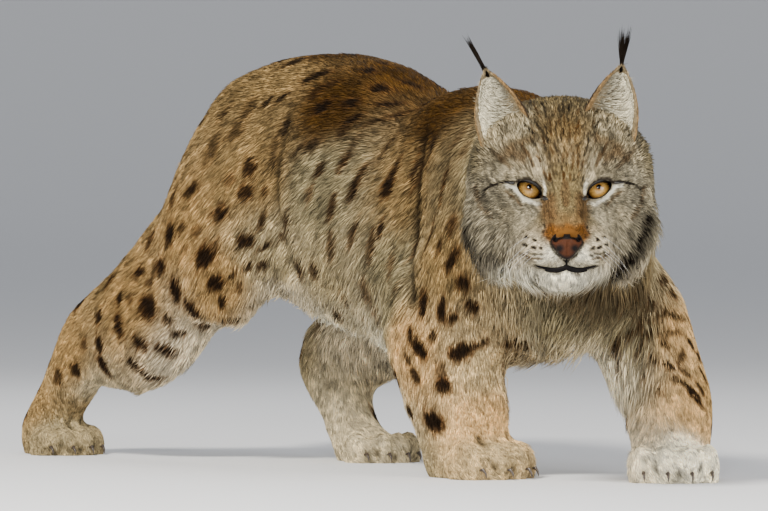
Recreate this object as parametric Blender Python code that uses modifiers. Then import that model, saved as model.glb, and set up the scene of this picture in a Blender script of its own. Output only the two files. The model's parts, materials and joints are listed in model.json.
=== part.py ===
"""A still, life-size lynx caught in mid-stride: the coat's outer shape as solids.

Metres, +Z up. The nose points towards -Y, the animal's right side is at -X and the floor
is z = 0. The head has a frame of its own: x to the animal's left, y backwards, z up, with
its origin half way between the eyes.
"""

import math
import random

import bmesh
import bpy
from mathutils import Matrix, Vector
from mathutils.bvhtree import BVHTree

# Driving sizes
GAP = 0.00035
LOCK_DEPTH = 0.006
LOCK_FLOOR = 0.006
HEAD_TURN = math.radians(-35)
EYE_MIDPOINT = Vector((-0.150, -0.260, 0.323))
EYE_SPACING = 0.073
EYE_RADIUS = 0.0155
EYE_DEPTH = 0.003
LID_THICKNESS = 0.0028
EYE_SLIT = (0.0150, 0.0120)
EYE_SLANT = math.radians(17)
EAR_HEIGHT = 0.088
EAR_HALF_WIDTH = 0.035
EAR_THICKNESS = 0.0038
# Name, side, place of its base in the head, lean outwards and turn outwards in degrees
EARS = (
    ("ear_right", -1, (-0.060, 0.022, 0.054), 15, 20),
    ("ear_left", 1, (0.046, 0.018, 0.057), 9, 5),
)
TUFT_LENGTH = 0.041
HEAD_CUT = 0.098
CHEST_CUT = 0.205
RUMP_CUT = 0.375

# Mesh sizes
BODY_VOXEL = 0.006
HEAD_VOXEL = 0.003
BODY_TRIANGLES = 3000
HEAD_TRIANGLES = 1750
RING_SIDES = 20
RING_STEPS = 4

# Body colours
FAWN = (0.46, 0.33, 0.20, 1.0)
AMBER = (0.62, 0.36, 0.06, 1.0)

# Joints of the skeleton, as the coat's solids are built round them
RIGHT_SHOULDER = Vector((-0.078, -0.005, 0.262))
RIGHT_ELBOW = Vector((-0.090, 0.062, 0.180))
RIGHT_WRIST = Vector((-0.072, 0.045, 0.072))
RIGHT_FORE_SOLE = Vector((-0.072, 0.025, 0.0))
LEFT_SHOULDER = Vector((0.052, -0.016, 0.262))
LEFT_ELBOW = Vector((0.097, -0.046, 0.180))
LEFT_WRIST = Vector((0.098, -0.112, 0.082))
LEFT_FORE_SOLE = Vector((0.064, -0.158, 0.0))
RIGHT_HIP = Vector((-0.082, 0.490, 0.350))
RIGHT_KNEE = Vector((-0.118, 0.500, 0.185))
RIGHT_HOCK = Vector((-0.142, 0.736, 0.136))
RIGHT_BALL = Vector((-0.150, 0.832, 0.032))
RIGHT_HIND_SOLE = Vector((-0.150, 0.800, 0.0))
LEFT_HIP = Vector((0.082, 0.490, 0.350))
LEFT_KNEE = Vector((0.112, 0.365, 0.205))
LEFT_HOCK = Vector((0.074, 0.545, 0.125))
LEFT_BALL = Vector((0.060, 0.455, 0.032))
LEFT_HIND_SOLE = Vector((0.058, 0.425, 0.0))
RIGHT_BLADE = Vector((-0.060, 0.075, 0.400))
LEFT_BLADE = Vector((0.052, 0.060, 0.402))
RIGHT_SHIN = (Vector((-0.096, 0.525, 0.280)), Vector((-0.124, 0.610, 0.180)))
LEFT_SHIN = (Vector((0.112, 0.385, 0.215)), Vector((0.098, 0.450, 0.172)))

# Trunk stations from chest to rump: along Y, top, bottom, half width
TRUNK = (
    (-0.154, 0.300, 0.225, 0.030),
    (-0.130, 0.338, 0.182, 0.070),
    (-0.070, 0.388, 0.142, 0.090),
    (0.030, 0.432, 0.127, 0.102),
    (0.110, 0.446, 0.126, 0.112),
    (0.185, 0.418, 0.132, 0.121),
    (0.260, 0.440, 0.143, 0.127),
    (0.340, 0.478, 0.160, 0.127),
    (0.430, 0.494, 0.190, 0.121),
    (0.510, 0.488, 0.240, 0.110),
    (0.575, 0.452, 0.290, 0.082),
    (0.606, 0.405, 0.335, 0.028),
)


def clear_scene():
    for obj in list(bpy.data.objects):
        bpy.data.objects.remove(obj)


def collection(name):
    made = bpy.data.collections.new(name)
    bpy.context.scene.collection.children.link(made)
    return made


def material(name, colour, roughness):
    made = bpy.data.materials.new(name)
    made.use_nodes = True
    shader = made.node_tree.nodes["Principled BSDF"]
    shader.inputs["Base Color"].default_value = colour
    shader.inputs["Roughness"].default_value = roughness
    shader.inputs["Metallic"].default_value = 0.0
    return made


def new_object(name, mesh):
    obj = bpy.data.objects.new(name, mesh)
    WORKSHOP.objects.link(obj)
    return obj


def object_from(name, bm):
    mesh = bpy.data.meshes.new(name)
    bmesh.ops.recalc_face_normals(bm, faces=bm.faces)
    if bm.calc_volume(signed=True) < 0:
        bmesh.ops.reverse_faces(bm, faces=bm.faces)
    bm.to_mesh(mesh)
    bm.free()
    return new_object(name, mesh)


def remove(objects):
    for obj in objects:
        bpy.data.objects.remove(obj)


def apply_modifiers(obj):
    """The object's mesh becomes what its modifiers make of it."""
    graph = bpy.context.evaluated_depsgraph_get()
    graph.update()
    mesh = bpy.data.meshes.new_from_object(obj.evaluated_get(graph))
    obj.modifiers.clear()
    obj.data = mesh
    return obj


def eased(points, steps):
    """Stations of numbers with a Catmull-Rom curve's points put in between."""
    out = []
    last = len(points) - 1
    for i in range(last):
        before, here, there, after = (points[max(0, min(last, i + k))] for k in (-1, 0, 1, 2))
        for step in range(steps):
            t = step / steps
            shares = (
                (-t + 2 * t * t - t**3) / 2,
                1 - (5 * t * t - 3 * t**3) / 2,
                (t + 4 * t * t - 3 * t**3) / 2,
                (t**3 - t * t) / 2,
            )
            out.append(
                tuple(
                    sum(share * number for share, number in zip(shares, numbers))
                    for numbers in zip(before, here, there, after)
                )
            )
    out.append(tuple(points[last]))
    return out


def loft(name, stations, side, squareness=2.0, sides=RING_SIDES, steps=RING_STEPS):
    """A closed tube through stations of centre, half width and half depth; side is the width's way."""
    rings = eased([(*c, a, b) for c, a, b in stations], steps)
    centres = [Vector(r[:3]) for r in rings]
    bm = bmesh.new()
    loops = []
    for i, (*_, half_width, half_depth) in enumerate(rings):
        along = (centres[min(i + 1, len(rings) - 1)] - centres[max(i - 1, 0)]).normalized()
        across = (side - along * side.dot(along)).normalized()
        deep = along.cross(across)
        loop = []
        for k in range(sides):
            turn = 2 * math.pi * k / sides
            c, s = math.cos(turn), math.sin(turn)
            reach = (abs(c) ** squareness + abs(s) ** squareness) ** (-1 / squareness)
            offset = across * half_width * c + deep * half_depth * s
            loop.append(bm.verts.new(centres[i] + offset * reach))
        loops.append(loop)
    for a, b in zip(loops, loops[1:]):
        for k in range(sides):
            n = (k + 1) % sides
            bm.faces.new((a[k], a[n], b[n], b[k]))
    bm.faces.new(loops[0])
    bm.faces.new(loops[-1])
    return object_from(name, bm)


def ellipsoid(name, centre, radii, tilt=(0, 0, 0), segments=24):
    """A ball stretched to three radii and turned by tilt, in degrees."""
    bm = bmesh.new()
    bmesh.ops.create_uvsphere(bm, u_segments=segments, v_segments=segments // 2, radius=1)
    turn = Matrix.Rotation(math.radians(tilt[2]), 4, "Z")
    turn = turn @ Matrix.Rotation(math.radians(tilt[1]), 4, "Y")
    turn = turn @ Matrix.Rotation(math.radians(tilt[0]), 4, "X")
    bm.transform(Matrix.Translation(centre) @ turn @ Matrix.Diagonal((*radii, 1)))
    return object_from(name, bm)


def fuse(name, objects, voxel, smooth, triangles):
    """Overlapping forms made one skin: remeshed, smoothed and thinned to a number of triangles."""
    bm = bmesh.new()
    for obj in objects:
        bm.from_mesh(obj.data)
    made = object_from(name, bm)
    remove(objects)
    remesh = made.modifiers.new("Skin", "REMESH")
    remesh.mode = "VOXEL"
    remesh.voxel_size = voxel
    soften = made.modifiers.new("Soften", "SMOOTH")
    soften.factor = 0.5
    soften.iterations = smooth
    apply_modifiers(made)
    thin = made.modifiers.new("Thin", "DECIMATE")
    thin.ratio = triangles / (2 * len(made.data.polygons))
    apply_modifiers(made)
    return made


def boolean(obj, others, operation, solver="EXACT"):
    """Joins or cuts obj with a list of closed meshes, which are then removed."""
    tools = bpy.data.collections.new("tools")
    bpy.context.scene.collection.children.link(tools)
    for other in others:
        tools.objects.link(other)
    step = obj.modifiers.new("Boolean", "BOOLEAN")
    step.operation = operation
    step.operand_type = "COLLECTION"
    step.collection = tools
    step.solver = solver
    apply_modifiers(obj)
    remove(others)
    bpy.data.collections.remove(tools)
    return obj


def islands(bm):
    """The separate bodies of a mesh, each as a list of its vertices."""
    left, found = set(bm.verts), []
    while left:
        front, body = [left.pop()], []
        while front:
            vert = front.pop()
            body.append(vert)
            for edge in vert.link_edges:
                other = edge.other_vert(vert)
                if other in left:
                    left.remove(other)
                    front.append(other)
        found.append(body)
    return found


def separate(obj):
    """Each closed body of obj as an object of its own, largest first."""
    bm = bmesh.new()
    bm.from_mesh(obj.data)
    bodies = sorted(islands(bm), key=len, reverse=True)
    made = []
    for body in bodies:
        keep = set(v.index for v in body)
        piece = bmesh.new()
        piece.from_mesh(obj.data)
        piece.verts.ensure_lookup_table()
        bmesh.ops.delete(piece, geom=[v for v in piece.verts if v.index not in keep], context="VERTS")
        made.append(object_from("piece", piece))
    bm.free()
    remove([obj])
    return made


def largest(obj):
    """obj with only its largest closed surface kept."""
    name = obj.name
    first, *rest = separate(obj)
    remove(rest)
    first.name = name
    return first


def slab(start, end, down, above, below):
    """A thin cutter along start-end that reaches above the line and below it in the direction down."""
    along, down = (end - start) / 2, down.normalized()
    normal = along.cross(down).normalized()
    rise = down * (above + below) / 2
    bm = bmesh.new()
    bmesh.ops.create_cube(bm, size=2)
    axes = Matrix((along, rise, normal * GAP / 2)).transposed().to_4x4()
    bm.transform(Matrix.Translation((start + end) / 2 + down * (below - above) / 2) @ axes)
    return object_from("slab", bm)


def cross_slab(centre, normal, reach):
    """A thin square cutter across normal, which has no part along x."""
    across = Vector((reach, 0, 0))
    return slab(centre - across, centre + across, normal.cross(across), reach, reach)


def centre_of(obj):
    corners = [v.co for v in obj.data.vertices]
    return sum(corners, Vector()) / len(corners)


def cut(obj, slabs, names):
    """Cuts obj by slabs; names gives each wanted piece's name and a point near its middle."""
    pieces = separate(boolean(obj, slabs, "DIFFERENCE"))
    named = {}
    for name, place in names.items():
        nearest = min(pieces, key=lambda piece: (centre_of(piece) - Vector(place)).length)
        pieces.remove(nearest)
        nearest.name = name
        named[name] = nearest
    remove(pieces)
    return named


# Body


def trunk():
    stations = [(Vector((0, y, (top + low) / 2)), wide, (top - low) / 2) for y, top, low, wide in TRUNK]
    return loft("trunk", stations, Vector((1, 0, 0)), 2.25)


def neck():
    return loft(
        "neck",
        (
            (Vector((0.000, 0.110, 0.325)), 0.080, 0.080),
            (Vector((-0.010, 0.020, 0.322)), 0.088, 0.100),
            (Vector((-0.046, -0.075, 0.316)), 0.088, 0.104),
            (Vector((-0.085, -0.145, 0.312)), 0.088, 0.098),
            (Vector((-0.112, -0.200, 0.312)), 0.088, 0.094),
            (Vector((-0.126, -0.225, 0.312)), 0.050, 0.050),
        ),
        Vector((1, 0, 0)),
    )


def foreleg(shoulder, elbow, wrist, sole, blade, bulk):
    """Shoulder blade to wrist, as one tapering limb."""
    mid_arm = (elbow + wrist) / 2
    return loft(
        "foreleg",
        (
            (blade + Vector((0, 0, 0.020)), 0.014, 0.030),
            (blade, 0.030, 0.056),
            ((blade + shoulder) / 2, 0.046, 0.076),
            (shoulder, 0.052, 0.076),
            ((shoulder + elbow) / 2, 0.054, 0.076),
            (elbow, 0.054 * bulk, 0.072 * bulk),
            (mid_arm, 0.052 * bulk, 0.065 * bulk),
            (wrist, 0.048 * bulk, 0.056 * bulk),
            (wrist * 0.45 + sole * 0.55, 0.045, 0.048),
            (wrist * 0.2 + sole * 0.8, 0.030, 0.032),
        ),
        Vector((1, 0, 0)),
    )


def paw(sole, heading, length, width, height):
    """A broad foot with four toes; heading is the way it points, in degrees left of -Y."""
    turn = Matrix.Rotation(math.radians(heading), 4, "Z")
    place = Matrix.Translation(sole) @ turn
    pad_radii = (width * 0.44, length * 0.40, height * 0.62)
    forms = [ellipsoid("pad", (0, length * 0.12, height * 0.45), pad_radii)]
    for k, (across, ahead) in enumerate(((-0.36, 0.20), (-0.13, 0.33), (0.13, 0.33), (0.36, 0.20))):
        centre = (width * across, -length * ahead, height * 0.34)
        forms.append(ellipsoid("toe", centre, (width * 0.155, length * 0.215, height * 0.46), segments=16))
    for form in forms:
        form.data.transform(place)
    return forms


def hind_thigh(hip, knee, rear):
    """The ham, from above the hip joint to the knee, deep from front to back."""
    out = math.copysign(1, hip.x)
    return loft(
        "thigh",
        (
            (Vector((out * 0.052, hip.y - 0.020, 0.462)), 0.016, 0.030),
            (Vector((out * 0.066, hip.y - 0.015, 0.430)), 0.038, 0.074),
            (hip + Vector((0, -0.012, 0.020)), 0.056, 0.098),
            (hip * 0.55 + knee * 0.45 + Vector((out * 0.004, 0, 0)), 0.062, 0.112 * rear),
            (hip * 0.2 + knee * 0.8, 0.056, 0.098 * rear),
            (knee + (knee - hip) * 0.10, 0.040, 0.060),
        ),
        Vector((1, 0, 0)),
    )


def hind_shank(start, middle, hock, ball, bulk):
    """The lower leg with the heel, and the long foot down to the toes."""
    return loft(
        "shank",
        (
            (start, 0.050, 0.085),
            (middle, 0.053, 0.076 * bulk),
            (hock * 0.65 + middle * 0.35, 0.045, 0.059 * bulk),
            (hock, 0.038, 0.046 * bulk),
            ((hock + ball) / 2, 0.034, 0.037),
            (ball, 0.034, 0.032),
            (ball + (ball - hock) * 0.08, 0.020, 0.018),
        ),
        Vector((1, 0, 0)),
    )


def tail():
    return loft(
        "tail",
        (
            (Vector((0.000, 0.560, 0.385)), 0.034, 0.034),
            (Vector((0.004, 0.615, 0.385)), 0.035, 0.034),
            (Vector((0.014, 0.652, 0.350)), 0.034, 0.034),
            (Vector((0.022, 0.668, 0.300)), 0.034, 0.034),
            (Vector((0.028, 0.672, 0.250)), 0.032, 0.032),
            (Vector((0.030, 0.670, 0.222)), 0.024, 0.024),
            (Vector((0.030, 0.669, 0.212)), 0.010, 0.010),
        ),
        Vector((1, 0, 0)),
    )


def body():
    """The whole animal behind the head, as one skin standing on flat soles."""
    forms = [
        trunk(),
        neck(),
        foreleg(RIGHT_SHOULDER, RIGHT_ELBOW, RIGHT_WRIST, RIGHT_FORE_SOLE, RIGHT_BLADE, 1.14),
        foreleg(LEFT_SHOULDER, LEFT_ELBOW, LEFT_WRIST, LEFT_FORE_SOLE, LEFT_BLADE, 1.02),
        hind_thigh(RIGHT_HIP, RIGHT_KNEE, 1.0),
        hind_shank(RIGHT_SHIN[0], RIGHT_SHIN[1], RIGHT_HOCK, RIGHT_BALL, 1.20),
        hind_thigh(LEFT_HIP, LEFT_KNEE, 0.9),
        hind_shank(LEFT_SHIN[0], LEFT_SHIN[1], LEFT_HOCK, LEFT_BALL, 1.0),
        tail(),
    ]
    forms += paw(RIGHT_FORE_SOLE, 8, 0.132, 0.102, 0.056)
    forms += paw(LEFT_FORE_SOLE, -28, 0.128, 0.098, 0.056)
    forms += paw(RIGHT_HIND_SOLE, -4, 0.120, 0.090, 0.050)
    forms += paw(LEFT_HIND_SOLE, -6, 0.120, 0.090, 0.050)
    whole = fuse("body", forms, BODY_VOXEL, 12, BODY_TRIANGLES)
    return boolean(whole, [block((-1, -1, -1), (1, 1.5, 0))], "DIFFERENCE")


def block(low, high):
    bm = bmesh.new()
    bmesh.ops.create_cube(bm, size=1)
    low, high = Vector(low), Vector(high)
    bm.transform(Matrix.Translation((low + high) / 2) @ Matrix.Diagonal((*(high - low), 1)))
    return object_from("block", bm)


# Head


def head_place():
    return Matrix.Translation(EYE_MIDPOINT) @ Matrix.Rotation(HEAD_TURN, 4, "Z")


def both_sides(name, centre, radii, tilt=(0, 0, 0), segments=24):
    x, y, z = centre
    pitch, roll, turn = tilt
    return [
        ellipsoid(name, (x, y, z), radii, tilt, segments),
        ellipsoid(name, (-x, y, z), radii, (pitch, -roll, -turn), segments),
    ]


def head_forms():
    across = Vector((1, 0, 0))
    skull = (
        (Vector((0, 0.125, 0.002)), 0.080, 0.076),
        (Vector((0, 0.095, 0.004)), 0.100, 0.094),
        (Vector((0, 0.060, 0.007)), 0.103, 0.097),
        (Vector((0, 0.030, 0.002)), 0.095, 0.089),
        (Vector((0, 0.008, -0.005)), 0.078, 0.073),
        (Vector((0, -0.008, -0.014)), 0.056, 0.054),
        (Vector((0, -0.016, -0.020)), 0.030, 0.030),
    )
    muzzle = (
        (Vector((0, 0.030, -0.042)), 0.070, 0.052),
        (Vector((0, 0.002, -0.050)), 0.058, 0.044),
        (Vector((0, -0.026, -0.057)), 0.049, 0.035),
        (Vector((0, -0.050, -0.060)), 0.042, 0.028),
        (Vector((0, -0.068, -0.060)), 0.026, 0.018),
    )
    bridge = (
        (Vector((0, 0.034, 0.046)), 0.040, 0.034),
        (Vector((0, -0.002, 0.008)), 0.026, 0.026),
        (Vector((0, -0.036, -0.022)), 0.022, 0.021),
        (Vector((0, -0.062, -0.044)), 0.0200, 0.018),
        (Vector((0, -0.073, -0.053)), 0.014, 0.012),
    )
    forms = [
        loft("skull", skull, across, 2.15),
        loft("muzzle", muzzle, across),
        loft("bridge", bridge, across, 2.3),
    ]
    forms.append(ellipsoid("chin", (0, -0.036, -0.090), (0.031, 0.030, 0.020)))
    forms.append(ellipsoid("jaw", (0, 0.030, -0.074), (0.056, 0.062, 0.032)))
    forms += both_sides("whisker pad", (0.024, -0.046, -0.064), (0.026, 0.028, 0.0190), (0, 12, -18))
    forms += both_sides("brow", (0.037, 0.006, 0.028), (0.032, 0.022, 0.014), (0, -14, 8))
    forms += both_sides("ruff core", (0.060, 0.060, -0.036), (0.036, 0.034, 0.052), (0, 8, 0))
    return forms


def almond(centre, slant):
    """A prism with the outline of the eye's slit, reaching forwards from the eye's middle."""
    bm = bmesh.new()
    half_wide, half_high = EYE_SLIT
    points = 14
    rows = []
    for y in (-0.05, 0.0):
        row = []
        for k in range(points):
            turn = 2 * math.pi * k / points
            x = half_wide * math.cos(turn)
            z = half_high * math.sin(turn) * (1 - 0.25 * abs(math.cos(turn)))
            row.append(bm.verts.new((x, y, z)))
        rows.append(row)
    for k in range(points):
        n = (k + 1) % points
        bm.faces.new((rows[0][k], rows[0][n], rows[1][n], rows[1][k]))
    bm.faces.new(rows[0])
    bm.faces.new(rows[1])
    bm.transform(Matrix.Translation(centre) @ Matrix.Rotation(slant, 4, "Y"))
    return object_from("slit", bm)


def front_point(tree, x, z):
    """Where the face lies, seen from the front, at x and z."""
    hit = tree.ray_cast(Vector((x, -0.3, z)), Vector((0, 1, 0)))[0]
    return hit if hit else Vector((x, 0, z))


def cord_mesh(name, points, radius):
    """A thin closed tube through points, with narrow ends."""
    stations = [(p, radius, radius) for p in points]
    return loft(name, stations, Vector((0.3, 0.2, 1)), sides=6, steps=1)


def mouth_cutters(tree):
    """The line under the nose and the mouth's line to both corners."""
    line = [front_point(tree, x, z) for x, z in ((0, -0.069), (0, -0.073), (0, -0.078))]
    cutters = [cord_mesh("philtrum", line, 0.0013)]
    smile = []
    for k in range(9):
        t = k / 4 - 1
        z = -0.0775 - 0.0065 * abs(t) ** 0.7
        smile.append(front_point(tree, 0.036 * t, z))
    cutters.append(cord_mesh("mouth", smile, 0.0016))
    return cutters


def nose_pad():
    """The leather pad: wide on top, narrow below."""
    bm = bmesh.new()
    bmesh.ops.create_cube(bm, size=1)
    bm.transform(Matrix.Diagonal((0.036, 0.016, 0.030, 1)))
    for v in bm.verts:
        if v.co.z < 0:
            v.co.x *= 0.42
            v.co.y += 0.003
    bm.transform(Matrix.Translation((0, -0.0675, -0.0560)))
    pad = object_from("nose", bm)
    soft = pad.modifiers.new("Round", "SUBSURF")
    soft.levels = soft.render_levels = 2
    return apply_modifiers(pad)


def head():
    """The head with its face, and its plain outer form grown by the gap, which cuts the ears clear."""
    skin = fuse("head", head_forms(), HEAD_VOXEL, 26, HEAD_TRIANGLES)
    plain = swollen(skin, GAP)
    eyes = [Vector((side * EYE_SPACING / 2, EYE_DEPTH, 0)) for side in (-1, 1)]
    shell = EYE_RADIUS + LID_THICKNESS
    raised = [ellipsoid("lids", eye, (shell,) * 3, segments=18) for eye in eyes]
    boolean(skin, raised + [nose_pad()], "UNION")
    tree = tree_of(skin)
    cutters = mouth_cutters(tree)
    cutters += [ellipsoid("socket", eye, (EYE_RADIUS + GAP,) * 3, segments=16) for eye in eyes]
    cutters += [almond(eye, math.copysign(EYE_SLANT, -eye.x)) for eye in eyes]
    cutters += both_sides("nostril", (0.0098, -0.0775, -0.0590), (0.0042, 0.006, 0.0030), (0, 25, -20), 10)
    cutters.append(block((-0.2, HEAD_CUT - GAP, -0.3), (0.2, 0.4, 0.3)))
    boolean(skin, cutters, "DIFFERENCE")
    for obj in (skin, plain):
        obj.data.transform(head_place())
    return largest(skin), plain


def eye(name, side):
    made = ellipsoid(name, (side * EYE_SPACING / 2, EYE_DEPTH, 0), (EYE_RADIUS,) * 3, segments=16)
    made.data.transform(head_place())
    return made


def ear_shell(side):
    """A hollow cone cut open at the front: each ring is a crescent with an outer and an inner arc."""
    bm = bmesh.new()
    rows, columns = 8, 7
    arc = math.radians(80)
    rings = []
    for i in range(rows):
        s = i / rows
        half = EAR_HALF_WIDTH * (1 - s**2.4) * (1 - 0.12 * (1 - s) ** 2)
        cup = 0.026 * (1 - s) ** 0.8 + 0.003
        wall = EAR_THICKNESS * (1 - 0.5 * s)
        outer, inner = [], []
        for k in range(columns):
            bend = arc * (2 * k / (columns - 1) - 1)
            across = half * math.sin(bend) / math.sin(arc)
            back = cup * (math.cos(bend) - math.cos(arc))
            height = EAR_HEIGHT * s - 0.010
            shift = side * 0.004 * s
            outer.append(bm.verts.new((across + shift, back, height)))
            if 0 < k < columns - 1:
                inner.append(bm.verts.new((across * (1 - wall / half) + shift, back - wall, height)))
        rings.append(outer + inner[::-1])
    tip = bm.verts.new((side * 0.004, 0.002, EAR_HEIGHT - 0.010))
    count = len(rings[0])
    for a, b in zip(rings, rings[1:]):
        for k in range(count):
            n = (k + 1) % count
            bm.faces.new((a[k], a[n], b[n], b[k]))
    for k in range(count):
        bm.faces.new((rings[-1][k], rings[-1][(k + 1) % count], tip))
    bm.faces.new(rings[0])
    return object_from("ear", bm)


def ear(name, side, place, lean, splay):
    """A cupped ear with its pencil of long black hair."""
    made = ear_shell(side)
    top = Vector((side * 0.004, 0.002, EAR_HEIGHT - 0.016))
    tuft = []
    for k in range(4):
        fan = (k - 1.5) * 0.06
        aim = Vector((side * 0.10 + fan, 0.10, 1)).normalized()
        reach = TUFT_LENGTH * (1 - 0.12 * abs(k - 1.5)) + 0.010
        tuft.append(lock(top - aim * 0.006, aim, Vector((0.3 * fan, 1, 0)), reach, 0.0075, 0.0036, -0.10))
    boolean(made, tuft, "UNION")
    pose = Matrix.Translation(place) @ Matrix.Rotation(side * math.radians(splay), 4, "Z")
    pose = pose @ Matrix.Rotation(side * math.radians(lean), 4, "Y")
    pose = pose @ Matrix.Rotation(math.radians(6), 4, "X")
    made.data.transform(head_place() @ pose)
    made.name = name
    return made


# Locks


def lock(root, aim, outward, length, width, thickness, droop, segments=3):
    """A flat tapered lock of hair: it starts at root along aim and bends towards -outward by droop."""
    along = aim.normalized()
    outward = (outward - along * outward.dot(along)).normalized()
    across = along.cross(outward)
    bm = bmesh.new()
    loops = []
    for i in range(segments):
        s = i / segments
        centre = root + along * length * s - outward * length * droop * s * s
        half_wide = width / 2 * (1 - s**2) * (0.8 + 0.6 * min(s * 3, 1) * (1 - s))
        half_thick = thickness / 2 * (1 - 0.75 * s)
        loops.append(
            [
                bm.verts.new(centre + across * half_wide),
                bm.verts.new(centre + outward * half_thick),
                bm.verts.new(centre - across * half_wide),
                bm.verts.new(centre - outward * half_thick),
            ]
        )
    tip = bm.verts.new(root + along * length - outward * length * droop)
    for a, b in zip(loops, loops[1:]):
        for k in range(4):
            n = (k + 1) % 4
            bm.faces.new((a[k], a[n], b[n], b[k]))
    for k in range(4):
        bm.faces.new((loops[-1][k], loops[-1][(k + 1) % 4], tip))
    bm.faces.new(loops[0])
    return object_from("lock", bm)


def tree_of(obj):
    bm = bmesh.new()
    bm.from_mesh(obj.data)
    tree = BVHTree.FromBMesh(bm)
    bm.free()
    return tree


class Coat:
    """Plants locks on the nodes, leaving out each lock that would reach another node or the floor."""

    def __init__(self, nodes, seed):
        self.nodes = nodes
        self.trees = {name: tree_of(obj) for name, obj in nodes.items()}
        self.grown = {name: [] for name in nodes}
        self.luck = random.Random(seed)

    def clear_of_others(self, candidate, home):
        tree = tree_of(candidate)
        if min(v.co.z for v in candidate.data.vertices) < LOCK_FLOOR:
            return False
        for name in self.nodes:
            if name == home:
                continue
            if tree.overlap(self.trees[name]):
                return False
            if any(tree.overlap(other) for other, _ in self.grown[name]):
                return False
        return True

    def plant(self, home, point, lie, length, width):
        """Roots one lock near point: it follows lie along the surface and rises a little from it."""
        place, normal, _, _ = self.trees[home].find_nearest(Vector(point))
        lie = lie.normalized()
        lie = (lie - normal * lie.dot(normal) * 0.7).normalized()
        jitter = Vector([self.luck.uniform(-0.12, 0.12) for _ in range(3)])
        for rise, share in ((0.40, 1.0), (0.55, 0.9), (0.30, 0.8), (0.75, 0.7)):
            aim = (lie + normal * rise + jitter).normalized()
            root = place - (normal * 0.6 + aim) * LOCK_DEPTH
            reach = length * share + LOCK_DEPTH
            made = lock(root, aim, normal, reach, width, width * 0.32, 0.12)
            if self.clear_of_others(made, home):
                self.grown[home].append((tree_of(made), made))
                return
            remove([made])

    def sow(self, homes, count, spacing, wanted, lie, length, width):
        """Plants locks at even places of the nodes' surfaces, wherever wanted says yes."""
        taken = []
        faces = []
        for home in homes:
            for face in self.nodes[home].data.polygons:
                centre, normal = face.center, face.normal
                if wanted(centre, normal):
                    faces.append((home, centre.copy(), normal.copy()))
        self.luck.shuffle(faces)
        for home, centre, normal in faces:
            if len(taken) >= count:
                break
            if all((centre - other).length > spacing for other in taken):
                taken.append(centre)
                size = self.luck.uniform(0.85, 1.15)
                self.plant(home, centre, lie(centre, normal), length * size, width * size)

    def fuse(self):
        """Each node's locks and the node become one closed solid."""
        for name, locks in self.grown.items():
            if locks:
                joined = boolean(self.nodes[name], [made for _, made in locks], "UNION")
                joined.name = name
                self.nodes[name] = largest(joined)


def ruff(coat):
    """The two points of long cheek hair that hang below the jaw, and the throat's hair between them."""
    place, turn = head_place(), head_place().to_3x3()
    arc = eased(
        (
            (0.088, 0.058, 0.010, 0.42, 0.30, -0.85, 0.026),
            (0.094, 0.055, -0.028, 0.34, 0.20, -0.92, 0.036),
            (0.088, 0.050, -0.062, 0.16, 0.10, -0.98, 0.046),
            (0.066, 0.042, -0.086, 0.00, 0.02, -1.00, 0.044),
            (0.036, 0.024, -0.098, -0.04, 0.00, -1.00, 0.026),
        ),
        4,
    )
    for side in (-1, 1):
        for row, (back, share) in enumerate(((0.018, 1.0), (0.0, 0.92), (-0.016, 0.7))):
            for k, (x, y, z, dx, dy, dz, length) in enumerate(arc):
                if (k + row) % 2:
                    continue
                point = place @ Vector((side * x, y + back, z))
                coat.plant("head", point, turn @ Vector((side * dx, dy, dz)), length * share, 0.017)
    for x in (-0.020, 0.0, 0.020):
        for y in (0.012, 0.040):
            coat.plant("head", place @ Vector((x, y, -0.105)), turn @ Vector((0, 0.2, -1)), 0.022, 0.018)


def long_coat(coat):
    """Chest, belly, elbows, thighs, heels and tail end."""
    trunk_nodes = ("chest", "abdomen", "rump")

    def down(centre, normal):
        return Vector((0.25 * normal.x, 0.10, -1))

    def trailing(centre, normal):
        return Vector((0.15 * normal.x, 0.75, -0.65))

    def back(centre, normal):
        return Vector((0.1 * normal.x, 0.45, -0.9))

    def throat(centre, normal):
        return centre.y < 0.02 and centre.z < 0.235 and normal.y < 0.25 and normal.z < 0.1

    def underside(centre, normal):
        return normal.z < -0.4 and centre.y > 0.0 and centre.z < 0.25

    front = ("neck", "chest", "fore_right_upper_leg", "fore_left_upper_leg")
    coat.sow(front, 58, 0.0140, throat, down, 0.050, 0.0150)
    coat.sow(trunk_nodes, 50, 0.0180, underside, trailing, 0.050, 0.0160)
    fore = ("fore_right_lower_leg", "fore_left_lower_leg", "fore_right_upper_leg", "fore_left_upper_leg")
    coat.sow(fore, 18, 0.020, lambda c, n: n.y > 0.62 and 0.085 < c.z < 0.23, back, 0.034, 0.013)
    thighs = ("hind_right_upper_leg", "hind_left_upper_leg", "rump")
    coat.sow(thighs, 12, 0.030, lambda c, n: n.y > 0.60 and 0.17 < c.z < 0.42, back, 0.034, 0.015)
    hocks = ("hind_right_lower_leg", "hind_left_lower_leg")
    coat.sow(hocks, 14, 0.024, lambda c, n: n.z < -0.5, trailing, 0.032, 0.014)
    coat.sow(("tail",), 7, 0.016, lambda c, n: c.z < 0.245, down, 0.022, 0.012)


def finish(obj, look, parts):
    """Shades a node, gives it its material and moves it to the part's collection."""
    obj.data.materials.clear()
    obj.data.materials.append(look)
    obj.data.shade_smooth()
    obj.data.set_sharp_from_angle(angle=math.radians(40))
    WORKSHOP.objects.unlink(obj)
    parts.objects.link(obj)


def centre_on_floor(objects):
    """Moves the animal so that the origin is on the floor, at the middle of its outline from above."""
    places = [v.co for obj in objects for v in obj.data.vertices]
    low = Vector([min(p[axis] for p in places) for axis in range(3)])
    high = Vector([max(p[axis] for p in places) for axis in range(3)])
    shift = Vector((-(low.x + high.x) / 2, -(low.y + high.y) / 2, -low.z))
    for obj in objects:
        obj.data.transform(Matrix.Translation(shift))


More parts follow.
